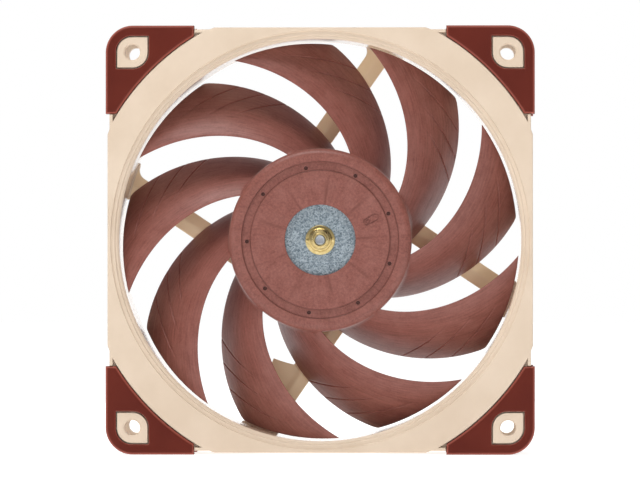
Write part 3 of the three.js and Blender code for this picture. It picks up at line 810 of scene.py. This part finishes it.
def blade():
    """One blade as a closed skin of rings from root to tip, with rounded edges and a cap at each end."""
    share = [0.5 - 0.5 * math.cos(math.pi * step / CHORD_STEPS) for step in range(CHORD_STEPS + 1)]
    chords = [0.6 * s + 0.4 * step / CHORD_STEPS for step, s in enumerate(share)]
    points = []
    rounded_edge = ((0.6, 0.8), (0, 1), (-0.6, 0.8))
    for radius in blade_rows():
        points += [blade_point(radius, chord, 1) for chord in chords]
        points += [blade_point(radius, 1, side, nose) for side, nose in rounded_edge]
        points += [blade_point(radius, chord, -1) for chord in reversed(chords)]
        points += [blade_point(radius, 0, -side, -nose) for side, nose in rounded_edge]
    loop = 2 * len(chords) + 2 * len(rounded_edge)
    faces = side_faces(len(points), loop)
    for start in (0, len(points) - loop):
        faces += cap(start, len(chords), loop)
    return points, faces


def cap(start, count, loop):
    """Quads across one end of the blade, between its two sides, and one face at each rounded edge."""
    faces = []
    for step in range(count - 1):
        other = 2 * count + 2 - step
        faces.append((start + step, start + step + 1, start + other - 1, start + other))
    faces.append(tuple(start + number for number in range(count - 1, count + 4)))
    faces.append(tuple(start + number % loop for number in range(loop - 4, loop + 1)))
    return faces


def make_impeller():
    """The hub and its nine swept blades."""
    piece = make_object("impeller_moulding", lathe(hub_profile(), 288))
    spacing = 360 / BLADES
    dimples = together(*(dimple(DIMPLE_ANGLE + spacing * number) for number in range(BLADES)))
    combine(piece, "DIFFERENCE", dimples, mould_mark())
    first = TIP_CORNER_ANGLE - cubic(LEADING_EDGE, 1)
    add_shape(piece, together(*(turned(blade(), first + spacing * number) for number in range(BLADES))))
    return smooth(piece, 38)


# Bushing, shaft and label.


def make_bushing():
    """The turned bushing, with two staked tabs on its flange."""
    flange_front = BUSHING_FRONT + 1.2
    corners = [
        (SHAFT_RADIUS + 0.05, BUSHING_FRONT + 0.6, 0),
        (SHAFT_RADIUS + 0.15, BUSHING_FRONT + 0.6, 0),
        (SHAFT_RADIUS + 0.15, BUSHING_FRONT, 0.05),
        (1.9, BUSHING_FRONT, 0.06),
        (2.05, BUSHING_FRONT + 0.16, 0.04),
        (2.5, BUSHING_FRONT + 0.16, 0.12),
        (2.75, BUSHING_FRONT + 0.45, 0.06),
        (3.05, BUSHING_FRONT + 0.5, 0.15),
        (3.25, BUSHING_FRONT + 0.9, 0.1),
        (3.3, flange_front, 0.1),
        (BUSHING_RADIUS, flange_front, 0.14),
        (BUSHING_RADIUS, flange_front + 0.3, 0.05),
        (3, flange_front + 0.3, 0),
        (3, BUSHING_BACK - 0.9, 0),
        (4, BUSHING_BACK - 0.9, 0.1),
        (4, BUSHING_BACK, 0.1),
        (SHAFT_RADIUS + 0.05, BUSHING_BACK, 0),
    ]
    piece = make_object("rotor_bushing", lathe(filleted(corners, 4), 96))
    tab = filleted([(4.1, -0.55, 0.15), (4.1, 0.55, 0.15), (2.9, 0.55, 0), (2.9, -0.55, 0)], 3)
    tab_shape = slab(tab, rounded_layers(flange_front - 0.35, flange_front + 0.1, 0.15, 0, 3))
    return smooth(add_shape(piece, together(tab_shape, turned(tab_shape, 180))), 40)


def make_shaft():
    corners = [
        (0, SHAFT_FRONT + 0.06, 0),
        (0.95, SHAFT_FRONT + 0.06, 0.05),
        (1.05, SHAFT_FRONT, 0.04),
        (1.28, SHAFT_FRONT, 0.08),
        (SHAFT_RADIUS, SHAFT_FRONT + 0.25, 0.08),
        (SHAFT_RADIUS, 20, 0),
        (1.15, 20, 0),
        (1.15, 20.5, 0),
        (SHAFT_RADIUS, 20.5, 0),
        (SHAFT_RADIUS, SHAFT_BACK - 0.3, 0.1),
        (1.1, SHAFT_BACK, 0.1),
        (0, SHAFT_BACK, 0),
    ]
    return smooth(make_object("rotor_shaft", lathe(filleted(corners, 3), 64)), 40)


def make_label():
    corners = [
        (0, LABEL_FRONT, 0),
        (LABEL_RADIUS, LABEL_FRONT, 0),
        (LABEL_RADIUS, LABEL_BACK, 0.06),
        (0, LABEL_BACK, 0),
    ]
    return smooth(make_object("back_label", lathe(filleted(corners, 3), 128)), 40)


# Materials.


def wire(tree, node, inputs):
    """Sets the node's inputs to values, or links them to sockets."""
    for key, value in inputs.items():
        if isinstance(value, bpy.types.NodeSocket):
            tree.links.new(value, node.inputs[key])
        else:
            node.inputs[key].default_value = value


def add_node(tree, kind, inputs=None, **settings):
    made = tree.nodes.new(kind)
    for name, value in settings.items():
        setattr(made, name, value)
    wire(tree, made, inputs or {})
    return made


def calculate(tree, operation, *values):
    return add_node(tree, "ShaderNodeMath", dict(enumerate(values)), operation=operation).outputs[0]


def multiply(tree, first, *others):
    for value in others:
        first = calculate(tree, "MULTIPLY", first, value)
    return first


def linear(colour):
    """An 8-bit sRGB colour as linear RGBA."""
    shares = [c / 255 for c in colour]
    return [c / 12.92 if c <= 0.04045 else ((c + 0.055) / 1.055) ** 2.4 for c in shares] + [1]


def new_material(name):
    made = bpy.data.materials.new(name)
    made.use_nodes = True
    return made, made.node_tree


def paint(made, inputs):
    """Sets the inputs of the material's shader, and returns the material."""
    wire(made.node_tree, made.node_tree.nodes["Principled BSDF"], inputs)
    return made


def painted(made, name):
    """The socket that already feeds this input of the material's shader."""
    return made.node_tree.nodes["Principled BSDF"].inputs[name].links[0].from_socket


def coordinates(tree):
    """A point's place in millimetres."""
    place = add_node(tree, "ShaderNodeTexCoord").outputs["Object"]
    inputs = {"Vector": place, "Scale": 1 / MM}
    return add_node(tree, "ShaderNodeVectorMath", inputs, operation="SCALE").outputs[0]


def split(tree, vector):
    return add_node(tree, "ShaderNodeSeparateXYZ", {0: vector}).outputs


def join(tree, x, y, z):
    return add_node(tree, "ShaderNodeCombineXYZ", {"X": x, "Y": y, "Z": z}).outputs[0]


def from_axis(tree, place):
    """The place's part across the rotor's axis, and its distance from the axis."""
    parts = split(tree, place)
    flat = join(tree, parts["X"], 0, parts["Z"])
    radius = add_node(tree, "ShaderNodeVectorMath", {0: flat}, operation="LENGTH").outputs["Value"]
    return flat, radius


def facing(tree):
    """Which way a surface faces: -1 to the front, 1 to the back and 0 to the side."""
    normal = add_node(tree, "ShaderNodeTexCoord").outputs["Normal"]
    return split(tree, normal)["Y"]


def noise(tree, vector, grain, detail=3, roughness=0.55):
    """Noise with grains of about this many millimetres, from 0 to 1."""
    inputs = {"Vector": vector, "Scale": 1 / grain, "Detail": detail, "Roughness": roughness}
    return add_node(tree, "ShaderNodeTexNoise", inputs).outputs["Fac"]


def waves(tree, value, pitch):
    """A sine with this many millimetres from crest to crest."""
    return calculate(tree, "SINE", multiply(tree, value, 2 * math.pi / pitch))


def remap(tree, value, low, high, new_low=0, new_high=1):
    inputs = {"Value": value, "From Min": low, "From Max": high, "To Min": new_low, "To Max": new_high}
    return add_node(tree, "ShaderNodeMapRange", inputs).outputs["Result"]


def blend_values(tree, factor, first, second):
    return add_node(tree, "ShaderNodeMix", {0: factor, 2: first, 3: second}).outputs[0]


def blend_colours(tree, factor, first, second):
    return add_node(tree, "ShaderNodeMix", {0: factor, 6: first, 7: second}, data_type="RGBA").outputs[2]


def shades(tree, factor, first, second):
    """A blend of two 8-bit colours."""
    return blend_colours(tree, factor, linear(first), linear(second))


def bump(tree, height, distance, normal=None):
    """A normal roughened by a height pattern of this many millimetres."""
    inputs = {"Height": height, "Distance": distance * MM, "Strength": 1}
    if normal is not None:
        inputs["Normal"] = normal
    return add_node(tree, "ShaderNodeBump", inputs).outputs["Normal"]


def moulded_plastic(name, colour, darker, roughness, grain=0.25, texture=0.012):
    """Moulded plastic: faint mottling, a fine spark-eroded grain, and uneven gloss."""
    made, tree = new_material(name)
    place = coordinates(tree)
    mottling = remap(tree, noise(tree, place, 14, 4), 0.35, 0.65)
    gloss = remap(tree, noise(tree, place, 3, 4), 0.3, 0.7, roughness - 0.05, roughness + 0.05)
    return paint(made, {
        "Base Color": shades(tree, mottling, colour, darker),
        "Roughness": gloss,
        "Normal": bump(tree, noise(tree, place, grain, 2), texture),
    })


def frame_plastic():
    """The frame's plastic, with painted warm light that makes the front of the struts and the motor base
    lighter and yellower, and polished on the wall of the duct."""
    made = moulded_plastic("frame_plastic", (226, 206, 184), (219, 198, 175), 0.4)
    tree = made.node_tree
    radius = from_axis(tree, coordinates(tree))[1]
    depthwise = facing(tree)
    # Painted warm light: surfaces inside the duct that face the front get a lighter, yellower colour.
    inside = remap(tree, radius, DUCT_RADIUS - 0.6, DUCT_RADIUS - 0.3, 1, 0)
    to_front = remap(tree, depthwise, -0.4, -0.1, 1, 0)
    painted_warm_light = multiply(tree, inside, to_front)
    at_wall = calculate(tree, "COMPARE", radius, DUCT_RADIUS + 0.1, 0.35)
    sideways = remap(tree, calculate(tree, "ABSOLUTE", depthwise), 0.3, 0.6, 1, 0)
    on_wall = multiply(tree, at_wall, sideways)
    return paint(made, {
        # The lighter, yellower colour of the painted warm light.
        "Base Color": blend_colours(tree, painted_warm_light, painted(made, "Base Color"), linear((242, 217, 179))),
        "Roughness": blend_values(tree, on_wall, painted(made, "Roughness"), 0.15),
        "Specular IOR Level": blend_values(tree, on_wall, 0.5, 0.9),
    })


def silicone():
    """Silicone rubber, with a painted highlight, a paler red, along its rounded edges."""
    made = moulded_plastic("pad_silicone", (101, 38, 27), (94, 34, 24), 0.5, 0.12, 0.004)
    tree = made.node_tree
    flatness = calculate(tree, "ABSOLUTE", facing(tree))
    # Painted highlight: surfaces facing half way between the front and the side, on the rounded edges, are
    # picked out.
    edge = multiply(tree, flatness, calculate(tree, "SUBTRACT", 1, flatness))
    edge = remap(tree, edge, 0.05, 0.25, 0, 0.75)
    return paint(made, {
        # The painted edge highlight blends in a paler red.
        "Base Color": blend_colours(tree, edge, painted(made, "Base Color"), linear((176, 98, 84))),
        "Specular IOR Level": 0.15,
    })


def streak_coordinates(tree, place, flat, radius):
    """Coordinates that are drawn out along each blade's span, and along the radius on the hub."""
    direction = add_node(tree, "ShaderNodeVectorMath", {0: flat}, operation="NORMALIZE").outputs[0]
    span = remap(tree, radius, HUB_RADIUS, TIP_RADIUS)
    terms = [math.radians((a + b) / 2) for a, b in zip(LEADING_EDGE, TRAILING_EDGE)]
    sweep = calculate(tree, "MULTIPLY_ADD", span, terms[3], terms[2])
    sweep = calculate(tree, "MULTIPLY_ADD", sweep, span, terms[1])
    turn = {"Vector": direction, "Angle": multiply(tree, sweep, span)}
    turned_back = add_node(tree, "ShaderNodeVectorRotate", turn, rotation_type="Y_AXIS").outputs[0]
    around = split(tree, turned_back)
    outward = multiply(tree, radius, STREAK_STRETCH)
    along = calculate(tree, "MULTIPLY_ADD", split(tree, place)["Y"], 0.5, outward)
    across_x = multiply(tree, around["X"], STREAK_RADIUS)
    across_z = multiply(tree, around["Z"], STREAK_RADIUS)
    return join(tree, across_x, along, across_z)


def weld_lines_and_groove_shade(tree, place, radius, clouds):
    """Nine dark lines round the hub, where the streams of melt met, and painted shade in a thin dark line
    at each edge of its groove.
    """
    parts = split(tree, place)
    angle = calculate(tree, "ARCTAN2", parts["Z"], parts["X"])
    wave = calculate(tree, "COSINE", calculate(tree, "MULTIPLY_ADD", angle, BLADES, -0.4))
    lines = calculate(tree, "POWER", calculate(tree, "MAXIMUM", wave, 0), 30)
    on_hub = remap(tree, radius, GROOVE_INNER, HUB_OPENING + 3)
    lines = multiply(tree, lines, on_hub, remap(tree, clouds, 0.3, 0.6))
    # Painted shade: a thin dark line in the corners at each edge of the groove.
    for edge in (GROOVE_INNER, GROOVE_OUTER):
        off = calculate(tree, "ABSOLUTE", calculate(tree, "SUBTRACT", radius, edge))
        lines = calculate(tree, "MAXIMUM", lines, remap(tree, off, 0.1, 0.3, 0.7, 0))
    return lines


def blade_plastic():
    """Liquid-crystal polymer: fine fibres drawn out along the flow of the melt, faint weld lines, and
    painted shade at the groove's edges and in its dimples.
    """
    made, tree = new_material("blade_plastic")
    place = coordinates(tree)
    flat, radius = from_axis(tree, place)
    streaks = streak_coordinates(tree, place, flat, radius)
    grain = noise(tree, place, 0.6, 5, 0.75)
    clouds = noise(tree, place, 4, 3)
    on_blade = remap(tree, radius, HUB_RADIUS - 0.6, HUB_RADIUS + 0.6)
    hub_fibres = noise(tree, streaks, 1, 5, 0.7)
    blade_fibres = noise(tree, streaks, 0.4, 5, 0.65)
    fibres = blend_values(tree, on_blade, hub_fibres, blade_fibres)
    fibres = blend_values(tree, remap(tree, on_blade, 0, 1, 0.25, 0.6), grain, fibres)
    light, middle, dark = linear((166, 112, 102)), linear((149, 91, 81)), linear((104, 55, 46))
    colour = blend_colours(tree, remap(tree, fibres, 0.36, 0.72), middle, dark)
    colour = blend_colours(tree, remap(tree, clouds, 0.4, 0.75, 0, 0.3), colour, light)
    # The weld lines and the painted shade at the groove's edges darken the colour.
    lines = multiply(tree, weld_lines_and_groove_shade(tree, place, radius, clouds), 0.8)
    colour = blend_colours(tree, lines, colour, dark)
    # Painted shade: whatever lies deeper than the groove's floor inside its outer edge, mostly the
    # dimples, gets a near-black colour.
    floor = at_depth(HUB_FRONT + GROOVE_DEPTH)
    depth = split(tree, place)["Y"]
    below = remap(tree, depth, floor + 0.1, floor + 0.3, 0, 0.8)
    pit = multiply(tree, below, calculate(tree, "LESS_THAN", radius, GROOVE_OUTER))
    return paint(made, {
        "Base Color": blend_colours(tree, pit, colour, linear((60, 26, 22))),
        "Roughness": remap(tree, fibres, 0.3, 0.7, 0.36, 0.52),
        "Specular IOR Level": 0.42,
        "Normal": bump(tree, clouds, 0.05, bump(tree, fibres, 0.03)),
    })


def zinc_steel():
    """Galvanised sheet with a fine spangle."""
    made, tree = new_material("zinc_steel")
    place = coordinates(tree)
    spangles = add_node(tree, "ShaderNodeTexVoronoi", {"Vector": place, "Scale": 1 / 0.36}, feature="F1")
    tone = add_node(tree, "ShaderNodeSeparateColor", {0: spangles.outputs["Color"]}).outputs[0]
    fine = noise(tree, place, 0.2, 3, 0.7)
    mixed = calculate(tree, "MULTIPLY_ADD", fine, 0.6, multiply(tree, tone, 0.6))
    return paint(made, {
        "Base Color": shades(tree, remap(tree, mixed, 0.25, 0.95), (96, 112, 123), (188, 200, 208)),
        "Roughness": remap(tree, mixed, 0.3, 0.9, 0.55, 0.35),
        "Normal": bump(tree, mixed, 0.02),
        "Metallic": 0.55,
    })


def turned_metal(name, colour, darker, roughness, ring_width, ring_depth):
    """Metal with the fine rings that a lathe tool leaves."""
    made, tree = new_material(name)
    place = coordinates(tree)
    uneven = noise(tree, place, 0.8, 3)
    rings = waves(tree, from_axis(tree, place)[1], ring_width)
    return paint(made, {
        "Base Color": shades(tree, remap(tree, uneven, 0.35, 0.7), colour, darker),
        "Roughness": remap(tree, uneven, 0.3, 0.7, roughness - 0.04, roughness + 0.06),
        "Normal": bump(tree, rings, ring_depth),
        "Metallic": 1,
    })


def sintered_bronze():
    """Bronze with fine dark pores."""
    made, tree = new_material("bronze")
    pores = noise(tree, coordinates(tree), 0.12, 3, 0.7)
    return paint(made, {
        "Base Color": shades(tree, remap(tree, pores, 0.4, 0.6), (96, 70, 44), (160, 124, 80)),
        "Roughness": remap(tree, pores, 0.3, 0.7, 0.6, 0.4),
        "Normal": bump(tree, pores, 0.02),
        "Metallic": 0.8,
    })


def ferrite(name, colour, darker, grain):
    """A dull dark ceramic or moulded body with a fine grain."""
    made, tree = new_material(name)
    fine = noise(tree, coordinates(tree), grain, 4, 0.65)
    return paint(made, {
        "Base Color": shades(tree, remap(tree, fine, 0.35, 0.65), colour, darker),
        "Roughness": remap(tree, fine, 0.3, 0.7, 0.7, 0.5),
        "Normal": bump(tree, fine, 0.02),
    })


def laminated_steel():
    """Varnished steel sheets, stacked along the rotor's axis."""
    made, tree = new_material("lamination")
    place = coordinates(tree)
    layers = waves(tree, split(tree, place)["Y"], 0.5)
    uneven = noise(tree, place, 0.6, 3)
    shade = calculate(tree, "MULTIPLY_ADD", layers, 0.25, uneven)
    return paint(made, {
        "Base Color": shades(tree, remap(tree, shade, 0.2, 0.9), (70, 73, 78), (120, 124, 130)),
        "Roughness": remap(tree, uneven, 0.3, 0.7, 0.35, 0.5),
        "Normal": bump(tree, layers, 0.05),
        "Metallic": 0.8,
    })


def enamelled_copper():
    """Turns of enamelled wire, which run round each pole's arm."""
    made, tree = new_material("copper")
    place = coordinates(tree)
    parts = split(tree, place)
    sides = [calculate(tree, "ABSOLUTE", parts[axis]) for axis in ("X", "Z")]
    wires = waves(tree, calculate(tree, "MAXIMUM", *sides), 0.32)
    uneven = noise(tree, from_axis(tree, place)[0], 0.7, 3)
    shade = calculate(tree, "MULTIPLY_ADD", wires, 0.2, uneven)
    return paint(made, {
        "Base Color": shades(tree, remap(tree, shade, 0.2, 0.9), (120, 52, 22), (205, 112, 58)),
        "Roughness": remap(tree, uneven, 0.3, 0.7, 0.25, 0.4),
        "Normal": bump(tree, wires, 0.05),
        "Metallic": 0.85,
        "Coat Weight": 0.4,
    })


def circuit_board():
    """Solder resist over faint copper tracks."""
    made, tree = new_material("board")
    place = coordinates(tree)
    inputs = {"Vector": place, "Scale": 1 / 3}
    cells = add_node(tree, "ShaderNodeTexVoronoi", inputs, feature="DISTANCE_TO_EDGE")
    tracks = remap(tree, cells.outputs["Distance"], 0.06, 0.12, 1, 0)
    return paint(made, {
        "Base Color": shades(tree, tracks, (38, 84, 48), (58, 116, 66)),
        "Roughness": remap(tree, noise(tree, place, 1, 3), 0.3, 0.7, 0.3, 0.45),
        "Normal": bump(tree, tracks, 0.03),
    })


def label_film():
    """Matt film with two plain printed rings."""
    made, tree = new_material("label")
    place = coordinates(tree)
    radius = from_axis(tree, place)[1]
    outer = calculate(tree, "COMPARE", radius, LABEL_RADIUS - 1.6, 0.25)
    inner = calculate(tree, "COMPARE", radius, 8, 0.2)
    rings = calculate(tree, "MAXIMUM", outer, inner)
    fine = noise(tree, place, 0.2, 3)
    paper = shades(tree, fine, (192, 172, 146), (176, 156, 130))
    return paint(made, {
        "Base Color": blend_colours(tree, rings, paper, linear((110, 66, 56))),
        "Roughness": remap(tree, fine, 0.3, 0.7, 0.4, 0.55),
        "Normal": bump(tree, fine, 0.008),
    })


def floor_material():
    """A pale backdrop that shows next to no shadow."""
    made, tree = new_material("floor")
    mottling = noise(tree, coordinates(tree), 60, 2)
    return paint(made, {
        "Base Color": shades(tree, mottling, (200, 200, 200), (196, 196, 196)),
        "Roughness": 0.9,
        "Specular IOR Level": 0,
        "Emission Color": (1, 1, 1, 1),
        "Emission Strength": 0.75,
    })


def repaint(material, *nodes):
    """Gives CAD nodes that keep their shape a better material."""
    for name in nodes:
        mesh_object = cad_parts[name]
        mesh_object.data.materials.clear()
        mesh_object.data.materials.append(material)


# Studio.

FLOOR_SIZE = 6  # in metres


def make_world():
    """A studio that is bright above and behind the fan and dim in front of it. Reflections see it dimmer
    at the sides and brighter behind, and the camera sees it white everywhere."""
    world = bpy.data.worlds.new("studio")
    bpy.context.scene.world = world
    world.use_nodes = True
    tree = world.node_tree
    direction = split(tree, add_node(tree, "ShaderNodeTexCoord").outputs["Generated"])
    front_to_back = remap(tree, direction["Y"], -0.6, 0.1, 0.05, 0.9)
    sideways = calculate(tree, "MULTIPLY_ADD", calculate(tree, "ABSOLUTE", direction["X"]), -0.25, 0.8)
    overhead = calculate(tree, "MULTIPLY_ADD", direction["Z"], 0.3, sideways)
    rays = add_node(tree, "ShaderNodeLightPath").outputs
    reflected = remap(tree, direction["Y"], 0.8, 0.97, 0.15, 2)
    dimming = blend_values(tree, rays["Is Glossy Ray"], 1, reflected)
    strength = multiply(tree, front_to_back, overhead, dimming)
    strength = calculate(tree, "MAXIMUM", strength, rays["Is Camera Ray"])
    wire(tree, tree.nodes["Background"], {"Color": (1, 1, 1, 1), "Strength": strength})


def make_light(name, place, size, power, glossy=True):
    """A softbox aimed at the fan. Its place and size are in metres, and its power in watts."""
    lamp = bpy.data.lights.new(name, "AREA")
    lamp.shape = "RECTANGLE"
    lamp.size, lamp.size_y = size
    lamp.energy = power
    holder = bpy.data.objects.new(name, lamp)
    holder.location = place
    holder.rotation_mode = "QUATERNION"
    holder.rotation_quaternion = (-Vector(place)).to_track_quat("-Z", "Y")
    holder.visible_camera = False
    holder.visible_glossy = glossy
    bpy.context.scene.collection.objects.link(holder)


def make_studio():
    make_world()
    make_light("softbox", (-0.2, -0.44, 1.07), (0.9, 0.4), 9)
    make_light("key", (-1.0, -0.9, 0.3), (0.6, 0.6), 1.5)
    make_light("edge", (-0.8, -0.35, -0.5), (0.3, 0.3), 1.5)
    make_light("fill", (0.1, -1.5, -0.05), (0.9, 0.8), 6.3, glossy=False)
    make_light("rear", (0, 0.45, 0.1), (0.5, 0.4), 0.7, glossy=False)
    half = FLOOR_SIZE / 2
    corners = [(-half, -half), (half, -half), (half, half), (-half, half)]
    floor = make_object("floor", ([(x, y, CAD_LOW.z) for x, y in corners], [(0, 1, 2, 3)]))
    floor.data.materials.append(floor_material())
    bpy.context.scene.view_settings.view_transform = "Standard"


# The camera stands a little right of the fan's axis and a little below it.
CAMERA_DISTANCE = 1320  # in front of the fan's front plane
CAMERA_RIGHT = 25
CAMERA_UP = -7
CAMERA_LENS = 265.9
SENSOR_WIDTH = 36


def make_camera():
    data = bpy.data.cameras.new("camera")
    data.lens = CAMERA_LENS
    data.sensor_width = SENSOR_WIDTH
    camera = bpy.data.objects.new("camera", data)
    place = Vector((CAMERA_RIGHT, at_depth(-CAMERA_DISTANCE), CAMERA_UP)) * MM
    target = Vector((0, at_depth(0), 0)) * MM
    camera.location = place
    camera.rotation_mode = "QUATERNION"
    camera.rotation_quaternion = (target - place).to_track_quat("-Z", "Y")
    bpy.context.scene.collection.objects.link(camera)
    bpy.context.scene.camera = camera


# Assembly.

FRAME_PLASTIC = frame_plastic()
SILICONE = silicone()
BLADE_PLASTIC = blade_plastic()
ZINC = zinc_steel()
BRASS = turned_metal("brass", (232, 212, 156), (214, 188, 124), 0.3, 0.4, 0.004)
STEEL = turned_metal("steel", (206, 210, 216), (184, 190, 198), 0.32, 0.3, 0.002)
BRONZE = sintered_bronze()
NYLON = moulded_plastic("nylon", (232, 228, 216), (220, 215, 200), 0.5)
MAGNET = ferrite("magnet", (52, 50, 50), (30, 29, 29), 0.3)
COMPONENT = ferrite("component", (44, 44, 48), (26, 26, 29), 0.15)
LAMINATION = laminated_steel()
COPPER = enamelled_copper()
BOARD = circuit_board()
LABEL = label_film()


def make_pads():
    """The pads of the front, and those of the back, whose left and right are as seen from the front."""
    corners = ("top_right", "top_left", "bottom_left", "bottom_right")
    mirrored = ("top_left", "top_right", "bottom_right", "bottom_left")
    for quarter, names in enumerate(zip(corners, mirrored)):
        for face, name in zip(("front", "rear"), names):
            pad = make_pad(f"{face}_pad_{name}", 90 * quarter, face == "rear")
            install(pad, "housing", SILICONE, "pad_silicone", f"pad_{face}_{name}")


def make_fan():
    install(make_frame(), "housing", FRAME_PLASTIC, "frame_plastic", "frame")
    make_pads()
    install(make_label(), "housing", LABEL, "label", "rear_label")
    install(make_impeller(), "rotor", BLADE_PLASTIC, "blade_plastic", "impeller")
    install(make_bushing(), "rotor", BRASS, "brass", "hub_bushing")
    install(make_shaft(), "rotor", STEEL, "steel", "shaft")
    repaint(ZINC, "rotor_cup")
    repaint(MAGNET, "ring_magnet", "bias_magnet")
    repaint(BRASS, "bearing_tube")
    repaint(STEEL, "retaining_ring", *(f"terminal_pin_{number}" for number in range(1, 5)))
    repaint(BRONZE, "bearing_sleeve")
    repaint(NYLON, "oil_seal_washer", "thrust_disc", "insulator_front", "insulator_rear")
    repaint(LAMINATION, "stator_core")
    repaint(COPPER, *(f"coil_{number}" for number in range(1, 5)))
    repaint(BOARD, "circuit_board")
    repaint(COMPONENT, "hall_sensor", "driver_chip", "capacitor_1", "capacitor_2", "diode",
            "resistor_1", "resistor_2", "resistor_3")


make_camera()
make_studio()
make_fan()
